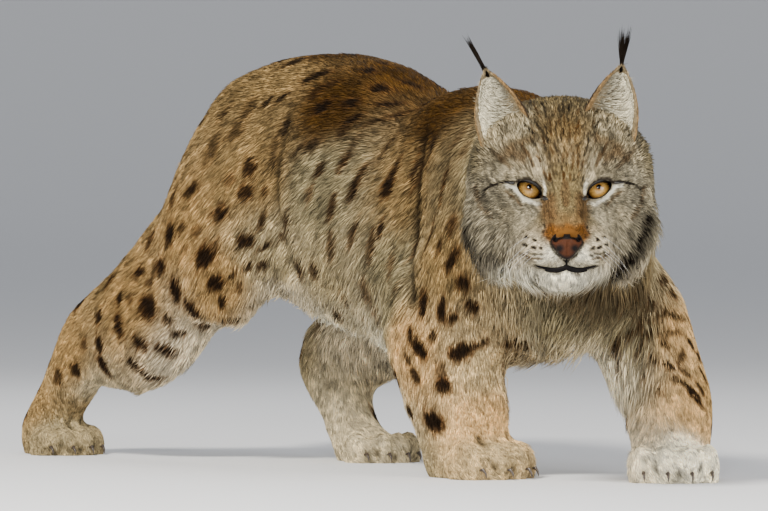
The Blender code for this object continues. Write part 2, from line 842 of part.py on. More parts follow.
def swollen(obj, amount):
    """A closed copy of obj grown outwards by amount, to cut its neighbours clear of it."""
    copy = new_object("swollen", obj.data.copy())
    grow = copy.modifiers.new("Grow", "DISPLACE")
    grow.strength = amount
    grow.mid_level = 0
    return apply_modifiers(copy)


def part_trunk(whole):
    """Takes off the neck, then the legs along the groin and the armpit, then parts the trunk crosswise."""
    nape_ends = (Vector((-0.230, -0.009, 0.25)), Vector((0.170, -0.169, 0.25)))
    nape = slab(*nape_ends, Vector((0, -0.25, -1)), 0.25, 0.14)
    nodes = cut(whole, [nape], {"trunk": (0, 0.22, 0.25), "neck": (-0.07, -0.13, 0.31)})
    groins = (
        (Vector((-0.150, 0.350, 0.300)), Vector((-0.018, 0.625, 0.300)), Vector((0.35, 0, -0.94))),
        (Vector((0.174, 0.166, 0.300)), Vector((0.018, 0.615, 0.300)), Vector((-0.35, 0, -0.94))),
    )
    armpits = (
        (Vector((-0.155, 0.220, 0.250)), Vector((-0.014, -0.198, 0.250)), Vector((0.47, 0, -0.883))),
        (Vector((0.140, 0.160, 0.250)), Vector((0.026, -0.180, 0.250)), Vector((-0.42, 0, -0.907))),
    )
    slabs = [slab(*line, 0.17, 0.20) for line in groins + armpits]
    names = {
        "trunk": (0, 0.22, 0.30),
        "fore_right": (-0.09, 0.04, 0.14),
        "fore_left": (0.10, -0.06, 0.14),
        "hind_right": (-0.13, 0.60, 0.20),
        "hind_left": (0.10, 0.44, 0.20),
    }
    limbs = cut(nodes.pop("trunk"), slabs, names)
    slabs = [
        cross_slab(Vector((0, CHEST_CUT, 0.30)), Vector((0, 1, 0)), 0.25),
        cross_slab(Vector((0, RUMP_CUT, 0.30)), Vector((0, 1, 0)), 0.25),
        cross_slab(Vector((0, 0.610, 0.380)), Vector((0, 1, -0.25)), 0.075),
    ]
    names = {
        "chest": (0, 0.05, 0.27),
        "abdomen": (0, 0.29, 0.29),
        "rump": (0, 0.47, 0.36),
        "tail": (0.02, 0.66, 0.29),
    }
    nodes.update(cut(limbs.pop("trunk"), slabs, names))
    return nodes, limbs


def part_leg(leg, stem, high, low, places):
    """Parts a leg at two joints, each a point, a way across and a reach, into upper, lower and paw."""
    slabs = [cross_slab(Vector(point), Vector(way), reach) for point, way, reach in (high, low)]
    names = {f"{stem}_{part}": place for part, place in zip(("upper_leg", "lower_leg", "paw"), places)}
    return cut(leg, slabs, names)


def part_legs(limbs):
    joints = {
        "fore_right": (
            ((-0.09, 0.060, 0.175), (0, -0.25, 1), 0.20),
            ((-0.07, 0.045, 0.066), (0, 0, 1), 0.11),
            ((-0.09, 0.03, 0.23), (-0.08, 0.055, 0.12), (-0.07, 0.02, 0.03)),
        ),
        "fore_left": (
            ((0.11, -0.045, 0.178), (0, -0.2, 1), 0.20),
            ((0.10, -0.115, 0.072), (0, 0.3, 1), 0.11),
            ((0.09, -0.02, 0.23), (0.11, -0.08, 0.12), (0.07, -0.15, 0.03)),
        ),
        "hind_right": (
            ((-0.11, 0.585, 0.215), (0, 1, -0.25), 0.15),
            ((-0.14, 0.765, 0.115), (0, -0.62, 0.8), 0.11),
            ((-0.10, 0.52, 0.27), (-0.13, 0.68, 0.16), (-0.15, 0.81, 0.05)),
        ),
        "hind_left": (
            ((0.11, 0.405, 0.190), (0, 0.5, -0.85), 0.22),
            ((0.07, 0.545, 0.118), (0, -0.19, 0.98), 0.19),
            ((0.09, 0.44, 0.29), (0.09, 0.47, 0.15), (0.06, 0.45, 0.04)),
        ),
    }
    nodes = {}
    for stem, (high, low, places) in joints.items():
        nodes.update(part_leg(limbs[stem], stem, high, low, places))
    return nodes


def main():
    parts = collection("eurasian_lynx")
    fur = material("fur_fawn", FAWN, 0.9)
    amber = material("eye_amber", AMBER, 0.15)

    whole = body()
    front = block((-0.2, -0.3, -0.3), (0.2, HEAD_CUT, 0.3))
    front.data.transform(head_place())
    whole = largest(boolean(whole, [front], "DIFFERENCE"))
    nodes, limbs = part_trunk(whole)
    nodes.update(part_legs(limbs))

    nodes["head"], plain = head()
    for name, side, place, lean, splay in EARS:
        clear = new_object("clear", plain.data.copy())
        nodes[name] = largest(boolean(ear(name, side, place, lean, splay), [clear], "DIFFERENCE"))
    remove([plain])
    for name, side in (("eye_right", -1), ("eye_left", 1)):
        nodes[name] = eye(name, side)
    coat = Coat(nodes, 11)
    ruff(coat)
    long_coat(coat)
    coat.fuse()
    centre_on_floor(nodes.values())
    for name, obj in nodes.items():
        obj.name = name
        finish(obj, amber if name.startswith("eye") else fur, parts)


clear_scene()
WORKSHOP = collection("workshop")
main()
bpy.data.collections.remove(WORKSHOP)
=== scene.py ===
# %% [markdown]
# A grown lynx in its winter coat, caught in mid-stride. The solids give its outline out to the
# tips of the hair. A picture of fur on them would look flat at every edge, so this lesson lays one
# soft skin a little inside them, covers it with thousands of small tufts, and gives it eyes, a
# nose, lips, whiskers, claws and ears.

# %% The frame
import json
import math

import bmesh
import bpy
import numpy as np
from mathutils import Matrix, Vector
from mathutils.bvhtree import BVHTree
from mathutils.kdtree import KDTree

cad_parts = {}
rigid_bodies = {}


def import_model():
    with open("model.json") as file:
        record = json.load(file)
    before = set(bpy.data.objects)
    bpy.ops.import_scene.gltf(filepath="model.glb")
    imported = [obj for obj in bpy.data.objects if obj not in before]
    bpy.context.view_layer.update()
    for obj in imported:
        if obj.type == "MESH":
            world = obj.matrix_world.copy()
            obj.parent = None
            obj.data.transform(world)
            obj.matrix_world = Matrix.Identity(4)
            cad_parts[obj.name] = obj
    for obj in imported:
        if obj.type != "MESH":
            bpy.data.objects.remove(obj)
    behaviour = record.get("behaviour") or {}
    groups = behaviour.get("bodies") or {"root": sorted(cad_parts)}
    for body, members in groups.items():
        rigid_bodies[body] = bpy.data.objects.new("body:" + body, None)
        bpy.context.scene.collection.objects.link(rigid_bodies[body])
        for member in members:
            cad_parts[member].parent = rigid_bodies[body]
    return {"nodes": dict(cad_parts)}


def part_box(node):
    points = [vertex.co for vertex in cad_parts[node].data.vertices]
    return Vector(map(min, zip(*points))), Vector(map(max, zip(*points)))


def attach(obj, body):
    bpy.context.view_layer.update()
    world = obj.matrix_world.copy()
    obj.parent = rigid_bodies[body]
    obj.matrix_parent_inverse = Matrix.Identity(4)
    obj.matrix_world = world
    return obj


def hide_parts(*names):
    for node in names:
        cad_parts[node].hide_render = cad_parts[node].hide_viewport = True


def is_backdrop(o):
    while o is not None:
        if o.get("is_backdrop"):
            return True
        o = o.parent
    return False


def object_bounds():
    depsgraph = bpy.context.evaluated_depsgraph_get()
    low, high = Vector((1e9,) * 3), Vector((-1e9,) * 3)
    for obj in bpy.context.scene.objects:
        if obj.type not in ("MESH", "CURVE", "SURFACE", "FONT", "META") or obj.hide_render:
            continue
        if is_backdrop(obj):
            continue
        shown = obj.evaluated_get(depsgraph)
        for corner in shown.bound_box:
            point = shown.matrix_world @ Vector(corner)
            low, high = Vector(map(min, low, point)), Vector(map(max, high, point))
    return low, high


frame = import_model()
cad_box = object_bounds()
bpy.ops.object.select_all(action="DESELECT")
luck = np.random.default_rng(7)
print("nodes", len(frame["nodes"]))

# %% [markdown]
# All that is drawn on the face keeps its place when the head turns. So the head gets a frame of
# its own: x to the animal's left, y backwards, z up, with the origin half way between the eyes.
# The body has another, along the trunk. Both are read from the eyes' solids, so they follow them.

# %% Places
# The head's solid is turned by 35 degrees, and a little less brings the nose to its place
HEAD_TURN = math.radians(-32.5)
# How far the eyes' middles lie behind the origin of the head's frame
EYE_DEPTH = 0.003
# The origin of the head's frame in the body's own
EYE_MIDPOINT = Vector((-0.150, -0.260, 0.323))


def middle(node):
    low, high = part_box(node)
    return (low + high) / 2


eye_middles = {side: middle(name) for side, name in ((-1, "eye_right"), (1, "eye_left"))}
turn = Matrix.Rotation(HEAD_TURN, 4, "Z")
between = (eye_middles[-1] + eye_middles[1]) / 2 - turn @ Vector((0, EYE_DEPTH, 0))
HEAD = Matrix.Translation(between) @ turn
BODY = Matrix.Translation(between - EYE_MIDPOINT)
EYE_HALF = (eye_middles[1] - eye_middles[-1]).length / 2
EYE_RADIUS = (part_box("eye_left")[1].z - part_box("eye_left")[0].z) / 2
print("eye", round(EYE_RADIUS, 4), "half spacing", round(EYE_HALF, 4))


def placed(matrix, points):
    """Rows of points moved by a matrix."""
    m = np.array(matrix)
    return np.asarray(points, float) @ m[:3, :3].T + m[:3, 3]


def unit(rows):
    return rows / np.maximum(np.linalg.norm(rows, axis=-1, keepdims=True), 1e-9)


# %% [markdown]
# The photograph is taken from the animal's right front, from far away and at the height of its
# face. A near camera with a wide lens would swell the head, so this one stands six metres
# off with a long lens. It is aimed and not shifted, which keeps other views of the model simple.

# %% Camera
VIEW_TURN = math.radians(35)
CAMERA_BACK, CAMERA_HEIGHT = 6.0, 0.300
LENS_PIXELS = 5700
# Where the photograph shows a point straight ahead of the camera, in pixels
VIEW_CENTRE, VIEW_LEVEL = 538.5, 212
IMAGE = (768, 511)
FILM_WIDTH = 36
across_view = Vector((math.cos(VIEW_TURN), -math.sin(VIEW_TURN), 0))
into_view = Vector((math.sin(VIEW_TURN), math.cos(VIEW_TURN), 0))
stand = EYE_MIDPOINT.dot(into_view) - CAMERA_BACK
camera_place = BODY.translation + into_view * stand + Vector((0, 0, CAMERA_HEIGHT))
aim = into_view + across_view * ((IMAGE[0] / 2 - VIEW_CENTRE) / LENS_PIXELS)
aim.z -= (IMAGE[1] / 2 - VIEW_LEVEL) / LENS_PIXELS
camera_data = bpy.data.cameras.new("camera")
camera_data.sensor_width = FILM_WIDTH
camera_data.lens = FILM_WIDTH * LENS_PIXELS / IMAGE[0]
camera_data.clip_end = 40
camera = bpy.data.objects.new("camera", camera_data)
camera.location = camera_place
camera.rotation_euler = aim.to_track_quat("-Z", "Y").to_euler()
bpy.context.scene.collection.objects.link(camera)
bpy.context.scene.camera = camera
print("camera", [round(v, 3) for v in camera_place], "lens", round(camera_data.lens), "mm")


def seen_along(x, y):
    """The way that the camera looks at a pixel, for placing what the photograph shows."""
    way = into_view + across_view * ((x - VIEW_CENTRE) / LENS_PIXELS)
    way.z = -(y - VIEW_LEVEL) / LENS_PIXELS
    return way.normalized()


# %% [markdown]
# A few small tools serve every piece. The first make a mesh object, join objects, run their
# modifiers and smooth them. Modifiers could stay live, but applied ones leave a plain mesh whose
# points can be read and moved. Each tool keeps its object at the origin.

# %% Objects


def mesh_object(name, vertices, faces):
    mesh = bpy.data.meshes.new(name)
    mesh.from_pydata([tuple(v) for v in vertices], [], [tuple(f) for f in faces])
    mesh.update()
    obj = bpy.data.objects.new(name, mesh)
    bpy.context.scene.collection.objects.link(obj)
    return obj


def only(obj):
    bpy.ops.object.select_all(action="DESELECT")
    obj.select_set(True)
    bpy.context.view_layer.objects.active = obj


def apply_all(obj):
    only(obj)
    for modifier in list(obj.modifiers):
        bpy.ops.object.modifier_apply(modifier=modifier.name)
    return obj


def joined(name, objects):
    bpy.ops.object.select_all(action="DESELECT")
    for obj in objects:
        obj.select_set(True)
    bpy.context.view_layer.objects.active = objects[0]
    bpy.ops.object.join()
    objects[0].name = name
    return objects[0]


def softened(obj, voxel, rounds):
    """One closed skin over all that the object holds, smoothed."""
    remesh = obj.modifiers.new("Skin", "REMESH")
    remesh.mode = "VOXEL"
    remesh.voxel_size = voxel
    soft = obj.modifiers.new("Soften", "SMOOTH")
    soft.factor = 0.5
    soft.iterations = rounds
    return apply_all(obj)


def facing_out(obj):
    only(obj)
    bpy.ops.object.mode_set(mode="EDIT")
    bpy.ops.mesh.select_all(action="SELECT")
    bpy.ops.mesh.normals_make_consistent(inside=False)
    bpy.ops.object.mode_set(mode="OBJECT")
    return obj


def smooth(obj):
    only(obj)
    bpy.ops.object.shade_smooth()
    return obj


# %% [markdown]
# The next tools read a mesh's points and normals as rows of numbers, which numpy works out
# thousands at a time. An exact Boolean leaves its points in another order each time it runs, and
# the tufts are strewn by that order. So each Boolean's mesh is sorted by place, and every run of
# this lesson then gives the same animal.

# %% Points


def positions(obj):
    out = np.empty(len(obj.data.vertices) * 3, np.float32)
    obj.data.vertices.foreach_get("co", out)
    return out.reshape(-1, 3).astype(float)


def in_order(obj):
    """The same mesh, its vertices and faces sorted by their place."""
    places = positions(obj)
    order = np.lexsort(places.T)
    rank = np.empty(len(order), int)
    rank[order] = np.arange(len(order))
    rank = rank.tolist()
    faces = []
    for face in obj.data.polygons:
        corners = [rank[v] for v in face.vertices]
        first = corners.index(min(corners))
        faces.append(tuple(corners[first:] + corners[:first]))
    mesh = bpy.data.meshes.new(obj.name)
    mesh.from_pydata(places[order].tolist(), [], sorted(faces))
    obj.data = mesh
    return obj


def combine(obj, other, operation):
    """A Boolean of two objects, put in order."""
    mix = obj.modifiers.new("Join", "BOOLEAN")
    mix.operation = operation
    mix.solver = "EXACT"
    mix.object = other
    apply_all(obj)
    bpy.data.objects.remove(other)
    return in_order(obj)


def vertex_normals(obj):
    out = np.empty(len(obj.data.vertices) * 3, np.float32)
    obj.data.vertex_normals.foreach_get("vector", out)
    return out.reshape(-1, 3).astype(float)


def move_to(obj, points):
    obj.data.vertices.foreach_set("co", np.asarray(points, np.float32).ravel())
    obj.data.update()


def tree_of(obj):
    """The surface of an object, for finding what is near and what a ray meets."""
    return BVHTree.FromPolygons(
        [tuple(p) for p in positions(obj)],
        [tuple(p.vertices) for p in obj.data.polygons],
    )


def tell(piece):
    """Print a piece's points and its size."""
    size = np.ptp(positions(piece), axis=0) * 1000
    print(piece.name, len(piece.data.vertices), "points,", np.round(size, 1), "mm")


# %% [markdown]
# Flesh is made of two plain forms, tubes that follow a line and stretched balls. Sculpting by hand
# would be freer, but a tube with a few rings can be read and changed as numbers. The line runs
# smoothly through its rings, and the ends are closed.

# %% Tubes and balls


def eased(rows, steps):
    """Rows of numbers with a smooth curve's rows put in between."""
    rows = np.asarray(rows, float)
    padded = np.vstack([rows[:1], rows, rows[-1:]])
    t = np.linspace(0, 1, steps, endpoint=False)[:, None]
    out = []
    for a, b, c, d in zip(padded, padded[1:], padded[2:], padded[3:]):
        bend = t**2 * (a - 2.5 * b + 2 * c - d / 2) + t**3 * (1.5 * (b - c) + (d - a) / 2)
        out.append(b + t * (c - a) / 2 + bend)
    return np.vstack(out + [rows[-1:]])


def tube(name, rows, side, squareness=2.0, sides=32, steps=6):
    """A closed tube through rows of x, y, z, half width and half depth."""
    rings = eased(rows, steps)
    centres = rings[:, :3]
    along = unit(np.gradient(centres, axis=0))
    side = np.asarray(side, float)
    wide = unit(side - along * (along @ side)[:, None])
    deep = np.cross(along, wide)
    turns = np.arange(sides) * 2 * math.pi / sides
    c, s = np.cos(turns), np.sin(turns)
    reach = (abs(c) ** squareness + abs(s) ** squareness) ** (-1 / squareness)
    points = (
        centres[:, None]
        + wide[:, None] * (rings[:, 3, None] * c * reach)[..., None]
        + deep[:, None] * (rings[:, 4, None] * s * reach)[..., None]
    ).reshape(-1, 3)
    faces = []
    for i in range(len(rings) - 1):
        for k in range(sides):
            n = (k + 1) % sides
            faces.append((i * sides + k, i * sides + n, (i + 1) * sides + n, (i + 1) * sides + k))
    faces.append(tuple(range(sides)))
    faces.append(tuple(range((len(rings) - 1) * sides, len(rings) * sides)))
    return facing_out(mesh_object(name, points, faces))


def ball(name, centre, radii, tilt=(0, 0, 0), segments=32):
    """A ball added at its place, stretched and turned, with its place then in its mesh."""
    bpy.ops.mesh.primitive_uv_sphere_add(segments=segments, ring_count=segments // 2, radius=1)
    obj = bpy.context.active_object
    obj.name = name
    turn = Matrix.Rotation(math.radians(tilt[2]), 4, "Z")
    turn = turn @ Matrix.Rotation(math.radians(tilt[1]), 4, "Y")
    turn = turn @ Matrix.Rotation(math.radians(tilt[0]), 4, "X")
    obj.data.transform(Matrix.Translation(centre) @ turn @ Matrix.Diagonal((*radii, 1)))
    return obj


def both(name, centre, radii, tilt=(0, 0, 0)):
    """The same ball on either side."""
    x, y, z = centre
    pitch, roll, yaw = tilt
    return [ball(name, centre, radii, tilt), ball(name, (-x, y, z), radii, (pitch, -roll, -yaw))]


# %% [markdown]
# Trunk, neck, legs and tail are one skin on the animal. Bridging the solids' rims by hand would
# leave a crease at each joint, so copies of them are merged by a remesh, which closes the thin
# gaps between them. What is left is pulled inwards later, by the depth of the coat at each place.

# %% Body skin
BODY_VOXEL, BODY_SOFTENING = 0.0062, 12
flesh = [n for n in sorted(frame["nodes"]) if not n.startswith(("ear", "eye"))]
copies = []
for node in flesh:
    if node != "head":
        piece = bpy.data.objects.new("skin", frame["nodes"][node].data.copy())
        bpy.context.scene.collection.objects.link(piece)
        copies.append(piece)
skin = joined("skin", copies)
skin.data.materials.clear()
only(skin)
bpy.ops.object.mode_set(mode="EDIT")
bpy.ops.mesh.select_all(action="SELECT")
bpy.ops.mesh.remove_doubles(threshold=0.00001)
bpy.ops.object.mode_set(mode="OBJECT")
softened(skin, BODY_VOXEL, BODY_SOFTENING)


def without_crumbs(obj):
    """Only what hangs together with the highest point."""
    only(obj)
    bpy.ops.object.mode_set(mode="EDIT")
    bpy.ops.mesh.select_mode(type="VERT")
    bpy.ops.mesh.select_all(action="DESELECT")
    bpy.ops.object.mode_set(mode="OBJECT")
    obj.data.vertices[int(np.argmax(positions(obj)[:, 2]))].select = True
    bpy.ops.object.mode_set(mode="EDIT")
    bpy.ops.mesh.select_linked()
    bpy.ops.mesh.select_all(action="INVERT")
    bpy.ops.mesh.delete(type="VERT")
    bpy.ops.object.mode_set(mode="OBJECT")


without_crumbs(skin)
tell(skin)

# %% [markdown]
# The solids carry the coat's big locks as thin wedges, and the fine tufts take their place. Where
# the mesh is thin, it is a lock, so a ray is sent inwards from each point to the far wall. Thin
# places are then smoothed for many rounds and melt into the body, and thick ones keep their form.

# %% Melted locks
# Thickness of what melts wholly, thickness of what stays, and rounds of smoothing
MELTING = ((0.020, 0.034, 90), (0.014, 0.026, 60))
FEET_TOP, HIND_FOOT = 0.105, 0.64


def thickness(obj):
    """How far the surface behind each vertex is."""
    tree = tree_of(obj)
    out = np.full(len(obj.data.vertices), 0.2)
    for i, (place, normal) in enumerate(zip(positions(obj), vertex_normals(obj))):
        start = Vector(place - normal * 0.0005)
        hit = tree.ray_cast(start, Vector(-normal))
        if hit[0] is not None:
            out[i] = hit[3]
    return out


for low, high, rounds in MELTING:
    thin = np.clip((high - thickness(skin)) / (high - low), 0, 1)
    local = placed(BODY.inverted(), positions(skin))
    thin[(local[:, 2] < FEET_TOP) | (local[:, 1] > HIND_FOOT)] = 0
    print("melting", int((thin > 0).sum()), "points")
    group = skin.vertex_groups.new(name="locks")
    for i in np.flatnonzero(thin > 0):
        group.add([int(i)], float(thin[i]), "REPLACE")
    melt = skin.modifiers.new("Melt", "SMOOTH")
    melt.vertex_group = "locks"
    melt.factor = 0.5
    melt.iterations = rounds
    apply_all(skin)
    skin.vertex_groups.clear()

# %% [markdown]
# A lynx has broad round paws with four toes that touch the ground. Smoothing has rounded the feet
# off, so each gets its toes again, as balls that a remesh melts into it. Grooves could be pressed
# in instead, but balls also give the toes their swell. The last smoothing is held back near the
# floor, which keeps the grooves between them.

# %% Toes
EVEN_VOXEL = 0.0056
# Place of the sole, heading in degrees, length, width and height
PAWS = (
    ((-0.072, 0.025, 0), 8, 0.132, 0.102, 0.056),
    ((0.064, -0.158, 0), -28, 0.128, 0.098, 0.056),
    ((-0.150, 0.800, 0), -4, 0.120, 0.090, 0.050),
    ((0.058, 0.425, 0), -6, 0.120, 0.090, 0.050),
)
# Across and ahead of the sole's middle, as shares of the paw's width and length
TOES = ((-0.38, 0.235), (-0.135, 0.36), (0.135, 0.36), (0.38, 0.235))
toes, paw_places = [], []
for sole, heading, long, wide, high in PAWS:
    place = BODY @ Matrix.Translation(sole) @ Matrix.Rotation(math.radians(heading), 4, "Z")
    paw_places.append((place, long, wide, high))
    for across, ahead in TOES:
        radii = (wide * 0.150, long * 0.225, high * 0.50)
        toe = ball("toe", (wide * across, -long * ahead, high * 0.42), radii, segments=24)
        toe.data.transform(place)
        toes.append(toe)
skin = joined("skin", [skin, *toes])
even = skin.modifiers.new("Even", "REMESH")
even.mode = "VOXEL"
even.voxel_size = EVEN_VOXEL
apply_all(skin)
height = positions(skin)[:, 2]
group = skin.vertex_groups.new(name="above")
for i, share in enumerate(np.clip((height - 0.045) / 0.05, 0.12, 1)):
    group.add([i], float(share), "REPLACE")
last = skin.modifiers.new("Soften", "SMOOTH")
last.vertex_group = "above"
last.factor = 0.5
last.iterations = 9
apply_all(skin)
skin.vertex_groups.clear()
print("body skin", len(skin.data.vertices))

# %% [markdown]
# The face decides whether this is the right animal. Its solid is too coarse for lids and lips, so
# the head is built again, finer, from plain forms: a skull, a muzzle with two whisker pads, a
# bridge, brows, chin, jaw, cheeks and the bases of the ears. They melt into one surface.

# %% Head forms
HEAD_VOXEL, HEAD_SOFTENING, HEAD_SHRINK = 0.0021, 48, 0.0016
# Rings of the tubes: x, y, z, half width and half depth
skull = (
    (0, 0.125, 0.002, 0.080, 0.076),
    (0, 0.095, 0.004, 0.100, 0.094),
    (0, 0.060, 0.007, 0.103, 0.097),
    (0, 0.030, 0.002, 0.095, 0.089),
    (0, 0.008, -0.005, 0.078, 0.073),
    (0, -0.008, -0.014, 0.056, 0.054),
    (0, -0.016, -0.020, 0.030, 0.030),
)
muzzle = (
    (0, 0.030, -0.042, 0.070, 0.052),
    (0, 0.002, -0.050, 0.058, 0.044),
    (0, -0.026, -0.057, 0.049, 0.035),
    (0, -0.050, -0.060, 0.042, 0.028),
    (0, -0.068, -0.060, 0.026, 0.018),
)
bridge = (
    (0, 0.034, 0.046, 0.040, 0.034),
    (0, -0.002, 0.008, 0.026, 0.026),
    (0, -0.036, -0.022, 0.022, 0.021),
    (0, -0.062, -0.044, 0.020, 0.018),
    (0, -0.073, -0.053, 0.014, 0.012),
)
forms = [
    tube("skull", skull, (1, 0, 0), 2.15),
    tube("muzzle", muzzle, (1, 0, 0)),
    tube("bridge", bridge, (1, 0, 0), 2.3),
    ball("chin", (0, -0.036, -0.090), (0.031, 0.030, 0.020)),
    ball("jaw", (0, 0.030, -0.074), (0.056, 0.062, 0.032)),
]
forms += both("whisker pad", (0.024, -0.046, -0.064), (0.026, 0.028, 0.0190), (0, 12, -18))
forms += both("brow", (0.037, 0.004, 0.026), (0.032, 0.022, 0.014), (0, -14, 8))
forms += both("ruff core", (0.066, 0.056, -0.036), (0.041, 0.036, 0.056), (0, 8, 0))
forms += both("ear base", (0.072, 0.040, 0.040), (0.018, 0.026, 0.026))
head = softened(joined("head", forms), HEAD_VOXEL, HEAD_SOFTENING)
move_to(head, positions(head) - vertex_normals(head) * HEAD_SHRINK)
tell(head)

# %% [markdown]
# A cat's lids lie on the eyeball and open in a slanted slit, flatter below than above. They could
# be modelled as folds of their own, but a ball joined to the face and slit by a prism follows the
# eye exactly. A second ball is then cut out behind the slit, as the socket.

# %% Lids
# Half length and half height of the slit, and how far it slants
SLIT = (0.0150, 0.0094)
SLANT = math.radians(28)
LID_VOXEL, LID_SOFTENING, LID_THICKNESS, SOCKET_ROOM = 0.0020, 6, 0.0022, 0.0003


def eye_outline(side, grow=0.0, count=48):
    """The slit of the lids in the head's x and z, from the outer corner over the top."""
    rows = []
    for k in range(count):
        t = 2 * math.pi * k / count
        x = -(SLIT[0] + grow) * math.cos(t)
        z = (SLIT[1] + grow) * math.sin(t) * (1 - 0.28 * abs(math.cos(t)) ** 3)
        z *= 1.0 if z > 0 else 0.86
        a, b = math.cos(SLANT), math.sin(SLANT)
        rows.append((side * (EYE_HALF - (x * a + z * b)), -x * b + z * a))
    return np.array(rows)


def on_eye(side, outline, radius):
    """Points of an outline laid on a ball round the eye's middle."""
    dx = outline[:, 0] - side * EYE_HALF
    dz = outline[:, 1]
    flat = np.hypot(dx, dz)
    scale = np.minimum(1, 0.97 * radius / np.maximum(flat, 1e-9))
    dx, dz = dx * scale, dz * scale
    dy = -np.sqrt(np.maximum(radius**2 - dx**2 - dz**2, 0))
    return np.column_stack([side * EYE_HALF + dx, EYE_DEPTH + dy, dz])


for side in (-1, 1):
    centre = (side * EYE_HALF, EYE_DEPTH, 0)
    combine(head, ball("lid", centre, (EYE_RADIUS + LID_THICKNESS,) * 3, segments=48), "UNION")
head = softened(head, LID_VOXEL, LID_SOFTENING)
for side in (-1, 1):
    centre = (side * EYE_HALF, EYE_DEPTH, 0)
    ring = eye_outline(side)
    count = len(ring)
    ends = [np.column_stack([ring[:, 0], np.full(count, y), ring[:, 1]]) for y in (-0.05, 0.004)]
    faces = [(k, (k + 1) % count, (k + 1) % count + count, k + count) for k in range(count)]
    faces += [tuple(range(count)), tuple(range(count, 2 * count))]
    combine(head, facing_out(mesh_object("slit", np.vstack(ends), faces)), "DIFFERENCE")
    socket = ball("socket", centre, (EYE_RADIUS + SOCKET_ROOM,) * 3, segments=48)
    combine(head, socket, "DIFFERENCE")
face_tree = tree_of(head)
print("head skin", len(head.data.vertices))


def on_face(x, z, lift=0.0):
    """Where the face lies, seen from the front, at x and z of the head's frame."""
    hit, normal, _, _ = face_tree.ray_cast(Vector((x, -0.3, z)), Vector((0, 1, 0)))
    if hit is None:
        return Vector((x, 0, z))
    return hit + normal * lift


# %% [markdown]
# On the animal nothing marks where the neck ends and the head begins. A remesh of both would
# blunt the fine lids, so they become one skin by a single exact Boolean union.

# %% One skin
head.data.transform(HEAD)
combine(skin, head, "UNION")
smooth(skin)
print("skin", len(skin.data.vertices))

# %% [markdown]
# How the coat lies, how long it is and what colour it has changes slowly over the animal. It could
# be combed and painted by hand, but then it couldn't be read. So a table of guides says it at some
# places, and every point of the skin takes a blend of the guides near it, most of the nearest.

# %% Guides
COLOURS = {
    "rufous": (0.064, 0.031, 0.006),
    "umber": (0.050, 0.022, 0.005),
    "mink": (0.150, 0.112, 0.056),
    # Brown of the throat, darkened as painted shade of the head
    "throat_brown_and_shade": (0.068, 0.050, 0.027),
    "drab": (0.196, 0.150, 0.072),
    "fawn": (0.205, 0.138, 0.058),
    "tawny": (0.310, 0.200, 0.080),
    "grey": (0.200, 0.170, 0.097),
    "buff": (0.292, 0.240, 0.138),
    # Sand is the forelegs' tan brightened by half, partly as painted light
    "sand": (0.470, 0.310, 0.140),
    "straw": (0.365, 0.278, 0.152),
    "pale": (0.430, 0.370, 0.245),
    "cream": (0.520, 0.455, 0.330),
    "white": (0.700, 0.665, 0.535),
    "orange": (0.138, 0.056, 0.010),
    "brown": (0.120, 0.070, 0.030),
    "ash": (0.365, 0.325, 0.228),
    "black": (0.012, 0.009, 0.007),
}
